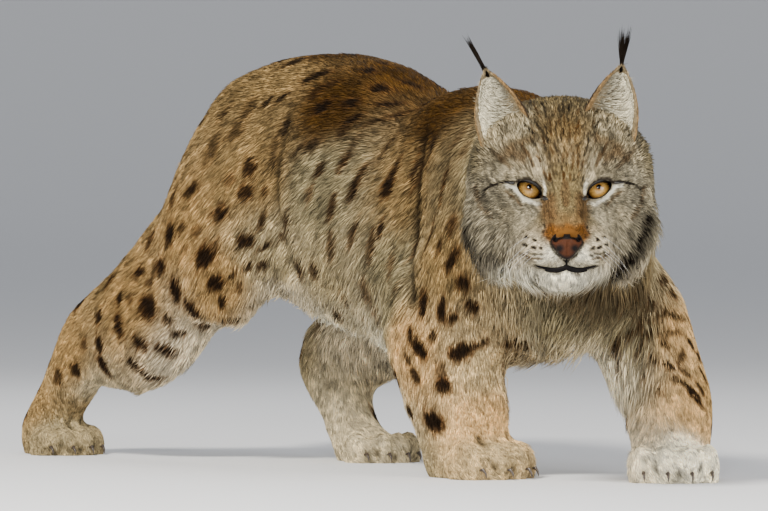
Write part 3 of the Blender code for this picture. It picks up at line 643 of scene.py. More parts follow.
# Place, way of the hair, length in millimetres, lift in degrees and colour. The body's and head's
# guides hold for both sides, the others for the legs and flank of one.
BODY_GUIDES = (
    (0, -0.08, 0.405, 0, 1, 0.15, 22, 14, "brown"),
    (0, 0.03, 0.440, 0, 1, 0.05, 25, 13, "rufous"),
    (0, 0.15, 0.430, 0, 1, 0.0, 26, 12, "rufous"),
    (0, 0.27, 0.445, 0, 1, 0.1, 26, 12, "rufous"),
    (0, 0.39, 0.490, 0, 1, 0.0, 26, 12, "rufous"),
    (0, 0.50, 0.490, 0, 1, -0.1, 26, 12, "rufous"),
    (0, 0.59, 0.440, 0, 0.6, -0.8, 26, 14, "fawn"),
    (0.075, 0.08, 0.410, 0.15, 1, -0.35, 26, 12, "rufous"),
    (0.085, 0.28, 0.420, 0.15, 1, -0.35, 27, 12, "rufous"),
    (0.080, 0.42, 0.460, 0.15, 1, -0.35, 27, 12, "fawn"),
    (0.070, 0.53, 0.445, 0.1, 0.9, -0.6, 27, 12, "fawn"),
    (0.115, 0.10, 0.330, 0, 0.85, -0.65, 28, 13, "fawn"),
    (0.125, 0.26, 0.330, 0, 0.85, -0.65, 29, 13, "grey"),
    (0.125, 0.38, 0.360, 0, 0.85, -0.65, 29, 13, "fawn"),
    (0.115, 0.12, 0.230, 0, 0.75, -0.8, 32, 15, "grey"),
    (0.122, 0.26, 0.230, 0, 0.75, -0.8, 33, 15, "buff"),
    (0.110, 0.37, 0.250, 0, 0.75, -0.8, 33, 15, "buff"),
    (0.090, 0.12, 0.155, 0, 0.75, -0.8, 40, 20, "buff"),
    (0.090, 0.26, 0.165, 0, 0.75, -0.8, 40, 20, "pale"),
    (0.080, 0.38, 0.200, 0, 0.75, -0.8, 38, 18, "cream"),
    (0.030, 0.05, 0.130, 0, 0.6, -0.8, 52, 26, "cream"),
    (0.030, 0.22, 0.140, 0, 0.5, -0.9, 62, 28, "white"),
    (0.030, 0.37, 0.175, 0, 0.6, -0.8, 56, 26, "white"),
    (0.090, -0.06, 0.350, 0.1, 0.6, -0.8, 28, 14, "grey"),
    (0.085, -0.10, 0.270, 0.2, 0.2, -1, 34, 16, "buff"),
    # The throat under the head: partly its own brown, partly painted shade of the head above it
    (0.045, -0.150, 0.270, 0.2, 0.0, -1, 46, 20, "mink"),
    (0.0, -0.155, 0.250, 0, 0.1, -1, 46, 22, "mink"),
    (0.040, -0.152, 0.213, 0.1, 0.1, -1, 52, 22, "throat_brown_and_shade"),
    (0.0, -0.155, 0.210, 0.0, 0.1, -1, 52, 22, "throat_brown_and_shade"),
    (0.0, -0.150, 0.175, 0, 0.1, -1, 58, 24, "grey"),
    (0.050, -0.110, 0.170, 0.1, 0.3, -1, 52, 22, "grey"),
    (0.0, -0.080, 0.135, 0, 0.3, -1, 72, 26, "pale"),
    (0.045, -0.080, 0.140, 0.1, 0.2, -1, 60, 24, "pale"),
    (0.085, 0.02, 0.330, 0.1, 0.5, -0.9, 26, 13, "mink"),
    (0.120, 0.00, 0.250, 0, 0.2, -1, 25, 13, "fawn"),
)
RIGHT_GUIDES = (
    (-0.115, 0.10, 0.200, 0, 0.45, -0.9, 30, 18, "grey"),
    (-0.135, 0.05, 0.150, 0, 0.25, -1, 20, 14, "sand"),
    (-0.085, -0.01, 0.150, 0.1, 0.05, -1, 20, 14, "straw"),
    (-0.035, 0.04, 0.140, 0.1, 0.2, -1, 42, 24, "straw"),
    (-0.075, 0.10, 0.100, 0, 0.35, -0.9, 22, 16, "pale"),
    (-0.072, 0.00, 0.070, 0, -0.3, -1, 12, 14, "sand"),
    (-0.072, -0.03, 0.040, 0, -0.8, -0.6, 9, 16, "straw"),
    (-0.072, 0.07, 0.030, 0, 0.1, -1, 10, 14, "buff"),
    (-0.150, 0.42, 0.350, 0, 0.6, -0.8, 26, 13, "fawn"),
    (-0.160, 0.50, 0.290, 0, 0.6, -0.8, 25, 13, "tawny"),
    (-0.155, 0.43, 0.220, 0, 0.5, -0.9, 24, 13, "tawny"),
    (-0.120, 0.60, 0.330, 0, 0.45, -0.9, 28, 14, "fawn"),
    (-0.165, 0.60, 0.210, 0, 0.75, -0.65, 22, 13, "tawny"),
    (-0.120, 0.52, 0.110, 0, 0.85, -0.5, 30, 18, "cream"),
    (-0.070, 0.50, 0.200, 0, 0.75, -0.7, 28, 16, "cream"),
    (-0.130, 0.66, 0.240, 0, 0.7, -0.75, 24, 14, "fawn"),
    (-0.165, 0.73, 0.140, 0, 0.7, -0.75, 18, 13, "tawny"),
    (-0.130, 0.70, 0.090, 0, 0.75, -0.7, 20, 16, "pale"),
    (-0.150, 0.80, 0.070, 0, 0.3, -1, 13, 13, "tawny"),
    (-0.150, 0.78, 0.035, 0, -0.6, -0.8, 9, 14, "buff"),
)
LEFT_GUIDES = (
    (0.105, -0.075, 0.295, 0.1, 0.2, -1, 28, 14, "pale"),
    # The left foreleg lies away from the key lamp, so these rows give it brighter colours than its
    # coat's own, as painted light
    (0.115, -0.03, 0.230, 0.1, -0.1, -1, 22, 13, "sand"),
    (0.140, -0.07, 0.170, 0, -0.1, -1, 17, 13, "sand"),
    (0.105, -0.12, 0.160, 0, -0.35, -0.95, 15, 13, "sand"),
    (0.055, -0.07, 0.140, 0, -0.1, -1, 40, 24, "white"),
    (0.100, 0.00, 0.150, 0, 0.4, -0.9, 26, 18, "pale"),
    (0.095, -0.160, 0.085, 0, -0.6, -0.8, 12, 14, "sand"),
    (0.125, -0.140, 0.100, 0, -0.5, -0.85, 12, 14, "tawny"),
    (0.066, -0.200, 0.045, 0, -0.85, -0.55, 9, 16, "white"),
    (0.066, -0.110, 0.030, 0, 0.1, -1, 10, 14, "cream"),
    (0.150, 0.42, 0.330, 0, 0.4, -0.9, 25, 13, "fawn"),
    (0.140, 0.34, 0.220, 0, 0.3, -0.95, 24, 13, "tawny"),
    (0.100, 0.47, 0.170, 0, 0.8, -0.6, 24, 16, "pale"),
    (0.050, 0.44, 0.180, 0, 0.7, -0.7, 26, 16, "cream"),
    (0.075, 0.56, 0.130, 0, 0.1, -1, 20, 15, "buff"),
    (0.040, 0.45, 0.140, 0, 0.1, -1, 26, 18, "cream"),
    (0.070, 0.49, 0.080, 0, -0.4, -0.9, 15, 14, "pale"),
    (0.058, 0.40, 0.045, 0, -0.8, -0.6, 11, 15, "pale"),
    (0.030, 0.62, 0.390, 0, 0.3, -1, 22, 15, "fawn"),
    (0.030, 0.64, 0.300, 0, 0.2, -1, 22, 16, "fawn"),
    (0.030, 0.64, 0.235, 0, 0.1, -1, 20, 18, "black"),
)
HEAD_GUIDES = (
    (0, -0.066, -0.046, 0, 0.6, 0.8, 2.5, 10, "orange"),
    (0, -0.045, -0.024, 0, 0.5, 0.9, 3.5, 11, "fawn"),
    (0.014, -0.030, -0.022, 0.4, 0.5, 0.6, 4, 11, "drab"),
    (0, -0.012, 0.010, 0, 0.3, 1, 5, 12, "drab"),
    (0.014, -0.010, 0.020, 0.15, 0.3, 1, 6, 13, "ash"),
    (0.010, 0.005, 0.050, 0.1, 0.5, 0.9, 8, 14, "fawn"),
    (0.030, 0.010, 0.048, 0.35, 0.5, 0.8, 8, 14, "grey"),
    (0.020, 0.040, 0.085, 0.1, 0.9, 0.5, 14, 18, "drab"),
    (0.010, 0.090, 0.095, 0, 1, 0, 18, 14, "fawn"),
    (0.050, 0.020, 0.045, 0.5, 0.4, 0.9, 11, 18, "grey"),
    (0.046, 0.012, 0.064, 0.4, 0.2, 1, 15, 28, "pale"),
    (0.068, 0.024, 0.058, 0.7, 0.2, 0.9, 17, 28, "pale"),
    (0.084, 0.036, 0.046, 0.9, 0.4, 0.6, 18, 24, "buff"),
    (0.060, 0.010, 0.012, 0.8, 0.6, 0.15, 8, 13, "ash"),
    (0.030, -0.016, -0.022, 0.8, 0.4, -0.3, 5, 11, "ash"),
    (0.048, -0.006, -0.028, 0.9, 0.5, -0.3, 8, 13, "ash"),
    (0.070, 0.015, -0.020, 0.8, 0.6, -0.35, 12, 15, "ash"),
    (0.070, 0.020, -0.055, 0.6, 0.4, -0.8, 20, 18, "ash"),
    (0.050, 0.010, -0.070, 0.4, 0.3, -0.9, 18, 18, "cream"),
    (0.088, 0.045, 0.040, 0.4, 0.9, -0.2, 14, 14, "grey"),
    (0.092, 0.050, 0.000, 0.4, 0.7, -0.6, 18, 14, "ash"),
    (0.094, 0.055, -0.035, 0.2, 0.4, -0.9, 28, 16, "ash"),
    (0.080, 0.045, -0.070, 0.0, 0.2, -1, 36, 18, "cream"),
    (0.050, 0.035, -0.092, 0.05, 0.2, -1, 38, 22, "cream"),
    (0.022, -0.066, -0.060, 0.8, 0.5, -0.25, 4, 10, "pale"),
    (0.036, -0.040, -0.062, 0.9, 0.5, -0.3, 6, 11, "pale"),
    (0.030, -0.035, -0.082, 0.6, 0.3, -0.8, 8, 13, "cream"),
    (0.0, -0.064, -0.092, 0, 0.1, -1, 7, 13, "white"),
    (0.018, -0.045, -0.104, 0.2, 0.3, -1, 13, 18, "white"),
    (0.0, 0.000, -0.110, 0, 0.4, -1, 24, 20, "cream"),
    (0.0, 0.060, -0.108, 0, 0.5, -0.9, 34, 20, "cream"),
    (0.070, 0.085, 0.065, 0.2, 1, -0.3, 18, 14, "brown"),
)


def guide_rows(rows, matrix, mirrored, painted_light, trim):
    """The rows' sides written out, their colours scaled for painted light and their lengths by trim."""
    out = []
    for x, y, z, dx, dy, dz, length, lift, colour in rows:
        sides = (1, -1) if mirrored and x else (1,)
        for side in sides:
            place = matrix @ Vector((side * x, y, z))
            way = (matrix.to_3x3() @ Vector((side * dx, dy, dz))).normalized()
            tone = np.array(COLOURS[colour]) * (1 if colour == "rufous" else painted_light)
            out.append((*place, *way, length * trim / 1000, math.radians(lift), *tone))
    return out


# Painted light: the body's and legs' colours are brightened by half against the shade that their longer
# coat casts on itself, and the head's are a little darker. The rufous back keeps its own.
BODY_PAINTED_LIGHT, HEAD_PAINTED_LIGHT = 1.5, 0.85
BODY_TRIM, HEAD_TRIM, LEG_TRIM = 0.72, 1.1, 0.75
guides = guide_rows(BODY_GUIDES, BODY, True, BODY_PAINTED_LIGHT, BODY_TRIM)
guides += guide_rows(HEAD_GUIDES, HEAD, True, HEAD_PAINTED_LIGHT, HEAD_TRIM)
guides += guide_rows(RIGHT_GUIDES + LEFT_GUIDES, BODY, False, BODY_PAINTED_LIGHT, LEG_TRIM)
guides = np.array(guides)
print("guides", len(guides))


def laid(way, normal, share=1.0):
    """Ways with their climb out of the surface taken off, wholly or by a share."""
    return unit(way - normal * np.einsum("ij,ij->i", way, normal)[:, None] * share)


def coat_at(points, normals):
    """Each point's own way, length, lift and ground colour, blended from the guides near it."""
    out = np.empty((len(points), 8))
    for start in range(0, len(points), 8000):
        part = slice(start, start + 8000)
        gap = points[part, None] - guides[None, :, :3]
        weight = 1 / (np.einsum("ijk,ijk->ij", gap, gap) + 0.00004) ** 2.2
        weight /= weight.sum(1, keepdims=True)
        out[part] = weight @ guides[:, 3:]
    return laid(out[:, :3], normals, 0.97), out[:, 3], out[:, 4], out[:, 5:8]


# %% [markdown]
# The solids reach to the tips of the hair, so the skin sinks in by the depth that the hair needs.
# One depth all over would bury the short hair of the feet. Laid hair of a given length and lift
# stands about their product high, and the skin sinks in by that, but hardly at all at the lids
# and near the floor.

# %% Depth
# The head's coat may stand this much over its solid
HIDDEN = 0.0016
skin_tree = tree_of(skin)
points, normals = positions(skin), vertex_normals(skin)
_, hair_length, hair_lift, _ = coat_at(points, normals)
in_head = placed(HEAD.inverted(), points)
on_head = (in_head[:, 1] < 0.085) & (np.abs(in_head[:, 0]) < 0.12) & (in_head[:, 2] > -0.125)
depth = np.clip(hair_length * np.sin(hair_lift) + 0.001, 0.0015, 0.0105)
depth[on_head] = np.clip(depth[on_head] - HIDDEN, 0.0, 0.0060)
lids = [(side * EYE_HALF, EYE_DEPTH - 0.012, 0) for side in (-1, 1)]
near_eye = np.minimum(*[np.linalg.norm(in_head - lid, axis=1) for lid in lids])
depth *= np.clip((near_eye - 0.018) / 0.015, 0, 1)
for height, most in ((0.05, 0.0030), (0.012, 0.0015)):
    low = points[:, 2] < height
    depth[low] = np.minimum(depth[low], most)
print("coat", round(float(depth.mean()) * 1000, 1), "mm deep on average")

# %% [markdown]
# Where a leg swings, the loose skin of a cat folds. Two deep folds show on the flank, behind the
# shoulder and before the thigh. A painted line would stay flat, so they are pressed into the skin
# along lines that are traced on the photograph, and mirrored to the far side. Their bottoms also
# get painted shade.

# %% Folds
FOLD_DEPTH, FOLD_WIDTH = 0.0070, 0.011
# Lines in the photograph, in pixels
FOLDS = (
    ((284, 118), (276, 150), (271, 185), (275, 220), (283, 250), (289, 272)),
    ((420, 135), (415, 165), (412, 200), (411, 230), (406, 262), (408, 300)),
)


def from_line(points, line):
    """How far each point is from a line of points."""
    nearest = np.full(len(points), 1e9)
    for a, b in zip(line, line[1:]):
        run = b - a
        t = np.clip(((points - a) @ run) / (run @ run), 0, 1)
        nearest = np.minimum(nearest, np.linalg.norm(points - a - t[:, None] * run, axis=1))
    return nearest


fold_lines = []
for fold in FOLDS:
    hits = [skin_tree.ray_cast(camera_place, seen_along(x, y))[0] for x, y in eased(fold, 5)]
    line = np.array([h for h in hits if h is not None])
    mirrored = placed(BODY.inverted(), line) * (-1, 1, 1)
    fold_lines += [line, placed(BODY, mirrored)]
for line in fold_lines:
    depth += FOLD_DEPTH * np.exp(-((from_line(points, line) / FOLD_WIDTH) ** 2))
moved = points - normals * depth[:, None]
moved[:, 2] = np.maximum(moved[:, 2], 0.0)
# The lines go down with the skin, so that painted shade can darken the bottoms of the folds
for line in fold_lines:
    line[:] = [moved[np.argmin(np.linalg.norm(points - place, axis=1))] for place in line]
move_to(skin, moved)
print("deepest", round(float(depth.max()), 4))

# %% [markdown]
# Hair never stands across its neighbours, it flows round the body. Blended guides alone would turn
# sharply half way between two of them. So the blend is made once for the skin's points, and its
# way is then evened out from each point to its neighbours. Roots that are strewn over a face
# later take their values from its corners.

# %% Lie of the coat
EVENING = 14
points, normals = positions(skin), vertex_normals(skin)
lie, hair_length, hair_lift, ground_colours = coat_at(points, normals)
edges = np.empty(len(skin.data.edges) * 2, np.int32)
skin.data.edges.foreach_get("vertices", edges)
edges = edges.reshape(-1, 2)
share = np.maximum(np.bincount(edges.ravel(), minlength=len(points)), 1)[:, None]
for _ in range(EVENING):
    total = np.zeros_like(lie)
    for k in range(3):
        total[:, k] += np.bincount(edges[:, 0], lie[edges[:, 1], k], len(points))
        total[:, k] += np.bincount(edges[:, 1], lie[edges[:, 0], k], len(points))
    lie = lie * 0.3 + total / share * 0.7
    lie = laid(lie, normals)
print("hair", np.round(np.quantile(hair_length, (0, 0.5, 1)) * 1000), "mm long")

# %% [markdown]
# A lynx is spotted: near-black ovals on the back, round spots with a brown rim on the legs, and
# long streaks down the flanks. A noise texture gives spots too, but all alike. So the seen side's
# spots are put where the photograph has them, each sent along the camera's view onto the skin.

# %% Spots
# In the photograph: x, y, half length, half width, slope in degrees, darkness
SEEN_SPOTS = (
    (103, 366, 9, 4, -50, 1), (150, 377, 8, 3, -10, 1), (135, 366, 7, 3, -25, 1),
    (165, 350, 9, 4, -15, 1), (140, 343, 7, 4, -35, 1), (118, 325, 9, 4, -65, 1),
    (119, 300, 5, 3, 90, 0.8), (99, 345, 6, 5, 80, 0.9), (98, 318, 5, 4, 90, 0.9),
    (147, 308, 9, 8, -30, 1), (168, 320, 5, 3, -30, 0.7), (192, 310, 9, 5, -20, 1),
    (176, 290, 9, 7, -30, 1), (178, 334, 6, 3, 10, 0.8), (204, 326, 5, 4, 0, 0.7),
    (216, 283, 8, 5, 20, 1), (222, 302, 5, 3, 80, 0.8), (228, 320, 8, 2, -40, 0.8),
    (239, 288, 5, 2, 90, 0.5), (161, 266, 7, 6, 0, 1), (139, 273, 6, 4, 0, 0.9),
    (149, 283, 4, 3, 0, 0.5), (110, 281, 7, 4, 60, 0.7), (170, 235, 8, 7, 60, 0.9),
    (181, 228, 5, 4, 30, 0.5), (151, 240, 7, 4, 80, 0.6), (205, 257, 9, 8, 20, 1),
    (215, 247, 5, 4, 60, 0.5), (219, 215, 7, 6, 20, 0.8), (192, 190, 8, 5, 10, 0.7),
    (173, 200, 7, 4, 70, 0.5), (246, 193, 6, 6, 0, 0.7), (250, 168, 7, 6, 80, 0.7),
    (248, 110, 9, 5, 75, 0.5), (236, 131, 8, 6, 70, 0.6), (212, 150, 11, 6, 80, 0.5),
    (225, 113, 6, 3, 60, 0.6), (245, 241, 6, 5, 15, 1), (265, 192, 4, 3, 80, 0.7),
    (263, 222, 7, 3, 50, 0.6), (266, 246, 8, 2, 30, 0.8), (247, 267, 4, 3, 20, 0.7),
    (262, 265, 4, 3, 20, 0.7), (233, 275, 4, 2, 40, 0.8), (267, 103, 7, 3, 10, 0.8),
    (281, 100, 6, 3, 10, 0.9), (75, 370, 6, 4, 70, 0.7), (57, 377, 5, 4, 70, 0.5),
    (205, 355, 6, 2, 0, 0.4), (184, 250, 5, 3, 30, 0.3), (196, 232, 5, 4, 30, 0.35),
    (230, 180, 5, 4, 60, 0.3), (130, 300, 4, 3, 60, 0.3), (84, 345, 5, 3, 70, 0.5),
    (275, 150, 12, 3, 85, 0.6), (284, 128, 8, 3, 80, 0.8), (295, 63, 11, 6, -10, 1),
    (315, 77, 11, 5, 10, 1), (318, 92, 8, 4, 35, 0.6), (332, 84, 6, 3, 20, 0.6),
    (323, 107, 8, 5, 30, 1), (350, 104, 6, 5, 0, 1), (353, 120, 8, 3, 15, 0.9),
    (344, 131, 6, 3, 60, 0.6), (369, 71, 5, 5, 0, 1), (381, 89, 8, 5, -20, 1), (391, 104, 10, 3, 0, 1),
    (396, 116, 9, 3, 20, 0.7), (375, 122, 7, 2, 10, 0.6), (412, 85, 9, 3, -25, 0.9),
    (405, 67, 8, 3, -20, 1), (430, 103, 9, 5, 60, 1), (350, 51, 10, 3, -5, 1),
    (366, 57, 6, 3, -30, 0.9), (385, 65, 6, 3, -20, 0.6), (300, 148, 7, 3, 30, 0.6),
    (313, 145, 8, 4, 10, 0.65), (320, 170, 6, 4, 40, 0.7), (352, 147, 9, 3, 58, 0.6),
    (344, 163, 9, 3, 50, 0.65), (362, 173, 9, 3, 45, 0.6), (354, 189, 9, 4, 60, 0.75),
    (386, 150, 12, 3, 50, 0.6), (394, 173, 11, 4, 50, 0.7), (388, 187, 9, 6, 40, 0.9),
    (332, 208, 9, 4, 60, 0.6), (310, 195, 6, 4, 70, 0.35), (353, 237, 11, 3, 55, 0.55),
    (331, 247, 11, 4, 75, 0.45), (372, 246, 12, 4, 62, 0.6), (381, 230, 7, 3, 55, 0.85),
    (315, 271, 7, 5, 70, 0.6), (392, 268, 9, 4, 65, 0.35), (367, 290, 10, 5, 80, 0.4),
    (350, 302, 11, 2, -65, 0.55), (397, 294, 7, 3, 45, 0.6), (339, 314, 6, 4, 60, 0.6),
    (322, 322, 9, 4, 20, 0.4), (381, 318, 9, 3, 70, 0.35), (432, 150, 11, 3, 60, 0.7),
    (458, 140, 8, 2, 50, 0.5), (424, 170, 9, 3, 75, 0.7), (445, 183, 12, 2, 80, 0.6),
    (415, 170, 14, 2, 85, 0.7), (466, 150, 7, 4, 70, 0.4), (452, 225, 7, 5, 60, 0.6),
    (440, 248, 6, 4, 70, 0.6), (430, 240, 14, 2, 70, 0.6), (453, 260, 11, 4, 40, 0.7),
    (463, 283, 6, 5, -60, 0.9), (473, 307, 6, 4, -30, 1), (453, 318, 5, 4, 40, 0.9),
    (442, 311, 9, 3, 85, 0.9), (424, 305, 10, 4, 80, 0.9), (418, 248, 10, 3, 80, 0.5),
    (411, 334, 6, 3, 85, 0.8), (420, 349, 8, 6, -35, 1), (432, 337, 4, 3, 60, 0.8),
    (460, 353, 8, 6, 20, 1), (475, 346, 9, 3, 20, 0.9), (514, 342, 9, 4, -25, 0.9),
    (415, 375, 7, 4, -50, 0.7), (443, 386, 6, 6, 0, 1), (433, 421, 9, 7, -10, 1),
    (411, 411, 5, 4, 80, 1), (408, 360, 5, 3, -50, 0.6), (500, 376, 10, 3, -10, 0.35),
    (441, 371, 6, 4, 80, 0.35), (665, 258, 5, 5, 0, 0.9), (643, 291, 10, 3, 25, 0.9),
    (671, 294, 5, 4, 0, 0.9), (624, 301, 8, 2, 25, 0.7), (655, 317, 14, 2, 20, 0.6),
    (690, 327, 10, 2, -35, 0.6), (619, 345, 9, 3, 65, 0.7), (636, 331, 8, 2, 45, 0.6),
    (621, 368, 8, 2, 60, 0.45), (703, 347, 6, 3, -40, 0.8), (698, 357, 4, 3, -40, 0.8),
    (681, 356, 6, 3, 60, 0.6), (672, 333, 10, 2, 10, 0.5), (702, 374, 7, 2, -50, 0.8),
    (690, 389, 9, 2, -40, 0.8), (697, 401, 8, 2, -40, 0.8), (710, 357, 6, 2, -60, 0.7),
    (684, 372, 7, 2, -40, 0.6), (676, 380, 6, 2, -30, 0.6), (700, 388, 6, 2, -45, 0.7),
    (665, 345, 5, 2, -30, 0.8), (655, 360, 5, 2, -40, 0.7), (668, 366, 5, 2, -35, 0.8),
    (650, 334, 6, 2, 30, 0.6), (660, 392, 4, 2, -35, 0.6), (640, 350, 6, 2, 60, 0.5),
    (690, 343, 5, 2, -40, 0.8), (678, 318, 7, 2, 20, 0.7), (648, 306, 7, 2, 20, 0.6),
    (662, 280, 6, 3, 25, 0.7), (630, 318, 7, 2, 40, 0.5), (645, 378, 5, 2, 50, 0.4),
)
SPOT_GROWTH, BACK_SPOT_GROWTH, BACK_SPOTS_FROM = 1.2, 1.35, 0.36
skin_tree = tree_of(skin)
spots = []
for x, y, half_long, half_wide, slope, dark in SEEN_SPOTS:
    hit, normal, _, reach = skin_tree.ray_cast(camera_place, seen_along(x, y))
    if hit is None:
        continue
    slope = math.radians(slope)
    axis = across_view * math.cos(slope) + Vector((0, 0, 1)) * math.sin(slope)
    axis = (axis - normal * axis.dot(normal)).normalized()
    size = reach / LENS_PIXELS * (BACK_SPOT_GROWTH if hit.z > BACK_SPOTS_FROM else SPOT_GROWTH)
    spots.append((*hit, *normal, *axis, half_long * size, half_wide * size, dark))
print("spots seen", len(spots))

# %% [markdown]
# The far side can't be seen, and mirrored spots would look copied. It gets an even scatter of the
# same kinds: a place is tried at random and kept where it is hidden from the camera and far enough
# from every other spot. The lie of the hair gives each its slope.

# %% Spots of the far side
TRIES = 9000
seen_count = len(spots)
taken = [Vector(s[:3]) for s in spots]
for i in luck.permutation(len(points))[:TRIES]:
    place, normal = Vector(points[i]), Vector(normals[i])
    local = BODY.inverted() @ place
    on_leg = local.z < 0.24
    if (HEAD.inverted() @ place).y < 0.11 or local.z < 0.05 or normal.z < -0.35:
        continue
    if (abs(local.x) < 0.05 and local.z < 0.3) or (on_leg and abs(normal.x) < 0.3):
        continue
    toward = (camera_place - place).normalized()
    start = place + normal * 0.004 + toward * 0.004
    if normal.dot(toward) > 0.10 and skin_tree.ray_cast(start, toward)[0] is None:
        continue
    if min((place - other).length for other in taken) < (0.034 if on_leg else 0.040):
        continue
    back = local.z > 0.40
    half_long = luck.uniform(0.008, 0.012) * (1.0 if back or on_leg else 1.35)
    half_wide = half_long * (0.62 if back else 0.75 if on_leg else 0.35)
    dark = luck.uniform(0.75, 1) if back or on_leg else 0.6
    spots.append((*place, *normal, *lie[i], half_long, half_wide, dark))
    taken.append(place)
spots = np.array(spots)
print("spots of the far side", len(spots) - seen_count)

# %% [markdown]
# No spot is a clean oval, since hairs carry its edge across each other. A texture could roughen
# it in the render only, but here the tufts themselves are coloured, so a smooth uneven value in
# space pulls each edge in and out. The same values later dapple the whole coat.

# %% Edges of the spots
# How far the painted shade in the folds and in the slits between the toes reaches
FOLD_SHADE, SLIT_SHADE = 0.0086, 0.0038
wave_turns = luck.normal(size=(3, 3, 5))
wave_starts = luck.uniform(0, 2 * math.pi, size=(3, 5))


def wobble(points, size, kind=0):
    """A smooth uneven value from -1 to 1, with bumps about size across."""
    phases = points @ wave_turns[kind] * (2.6 / size) + wave_starts[kind]
    return np.sin(phases + 1.3 * np.sin(phases[:, ::-1] * 0.7)).mean(1) * 1.6


def toe_slits():
    """The lines between the toes for the painted shade, from the top of each paw down to its front."""
    for place, long, wide, high in paw_places:
        for across in (-0.255, 0, 0.255):
            upper = (wide * across * 0.8, -long * 0.24, high * 0.95)
            lower = (wide * across, -long * 0.56, high * 0.20)
            yield placed(place, (upper, lower))


def spots_and_crease_shade(points):
    """How black and how rusty spots make each point, with painted shade in folds and toe slits."""
    black = np.zeros(len(points))
    rusty = np.zeros(len(points))
    ragged = 1 + 0.22 * wobble(points, 0.014) + 0.16 * wobble(points, 0.006, 1)
    for row in spots:
        centre, normal, axis = row[:3], row[3:6], row[6:9]
        half_long, half_wide, dark = row[9:]
        near = np.flatnonzero(np.abs(points[:, 0] - centre[0]) < 2 * half_long + 0.006)
        gap = points[near] - centre
        close = np.einsum("ij,ij->i", gap, gap) < (2.2 * half_long + 0.008) ** 2
        near, gap = near[close], gap[close]
        if not len(near):
            continue
        side = np.cross(normal, axis)
        flat = (gap @ axis / half_long) ** 2 + (gap @ side / half_wide) ** 2
        far = np.sqrt(flat + (gap @ normal / 0.03) ** 2) * ragged[near]
        core = np.clip((1.20 - far) / 0.24, 0, 1) * min(0.94, max(0, dark * 1.5 - 0.18))
        rim = np.clip((1.70 - far) / 0.6, 0, 1) * min(1, 0.45 + dark * 0.5)
        rim *= 0.45 if centre[2] > BACK_SPOTS_FROM else 1
        black[near] = np.maximum(black[near], core)
        rusty[near] = np.maximum(rusty[near], rim)
    # Painted shade along the bottoms of the folds
    for line in fold_lines:
        shade = np.exp(-((from_line(points, line) / FOLD_SHADE) ** 2))
        black = np.maximum(black, 0.97 * shade)
    # Painted shade in the slits between the toes
    for slit in toe_slits():
        near = np.flatnonzero(np.linalg.norm(points - slit.mean(0), axis=1) < 0.05)
        shade = np.exp(-((from_line(points[near], slit) / SLIT_SHADE) ** 2))
        black[near] = np.maximum(black[near], 0.85 * shade)
    return black, rusty


# %% [markdown]
# A lynx's face is drawn in hair: white under and inside the eyes, a dark line out from each eye,
# dots where the whiskers grow, black bars down the ruff. A painted image would need a file and
# blur up close. Strokes that code lays over the ground colour, as with a brush, stay sharp on
# every hair. Each is a line in the head's x and z, in millimetres.

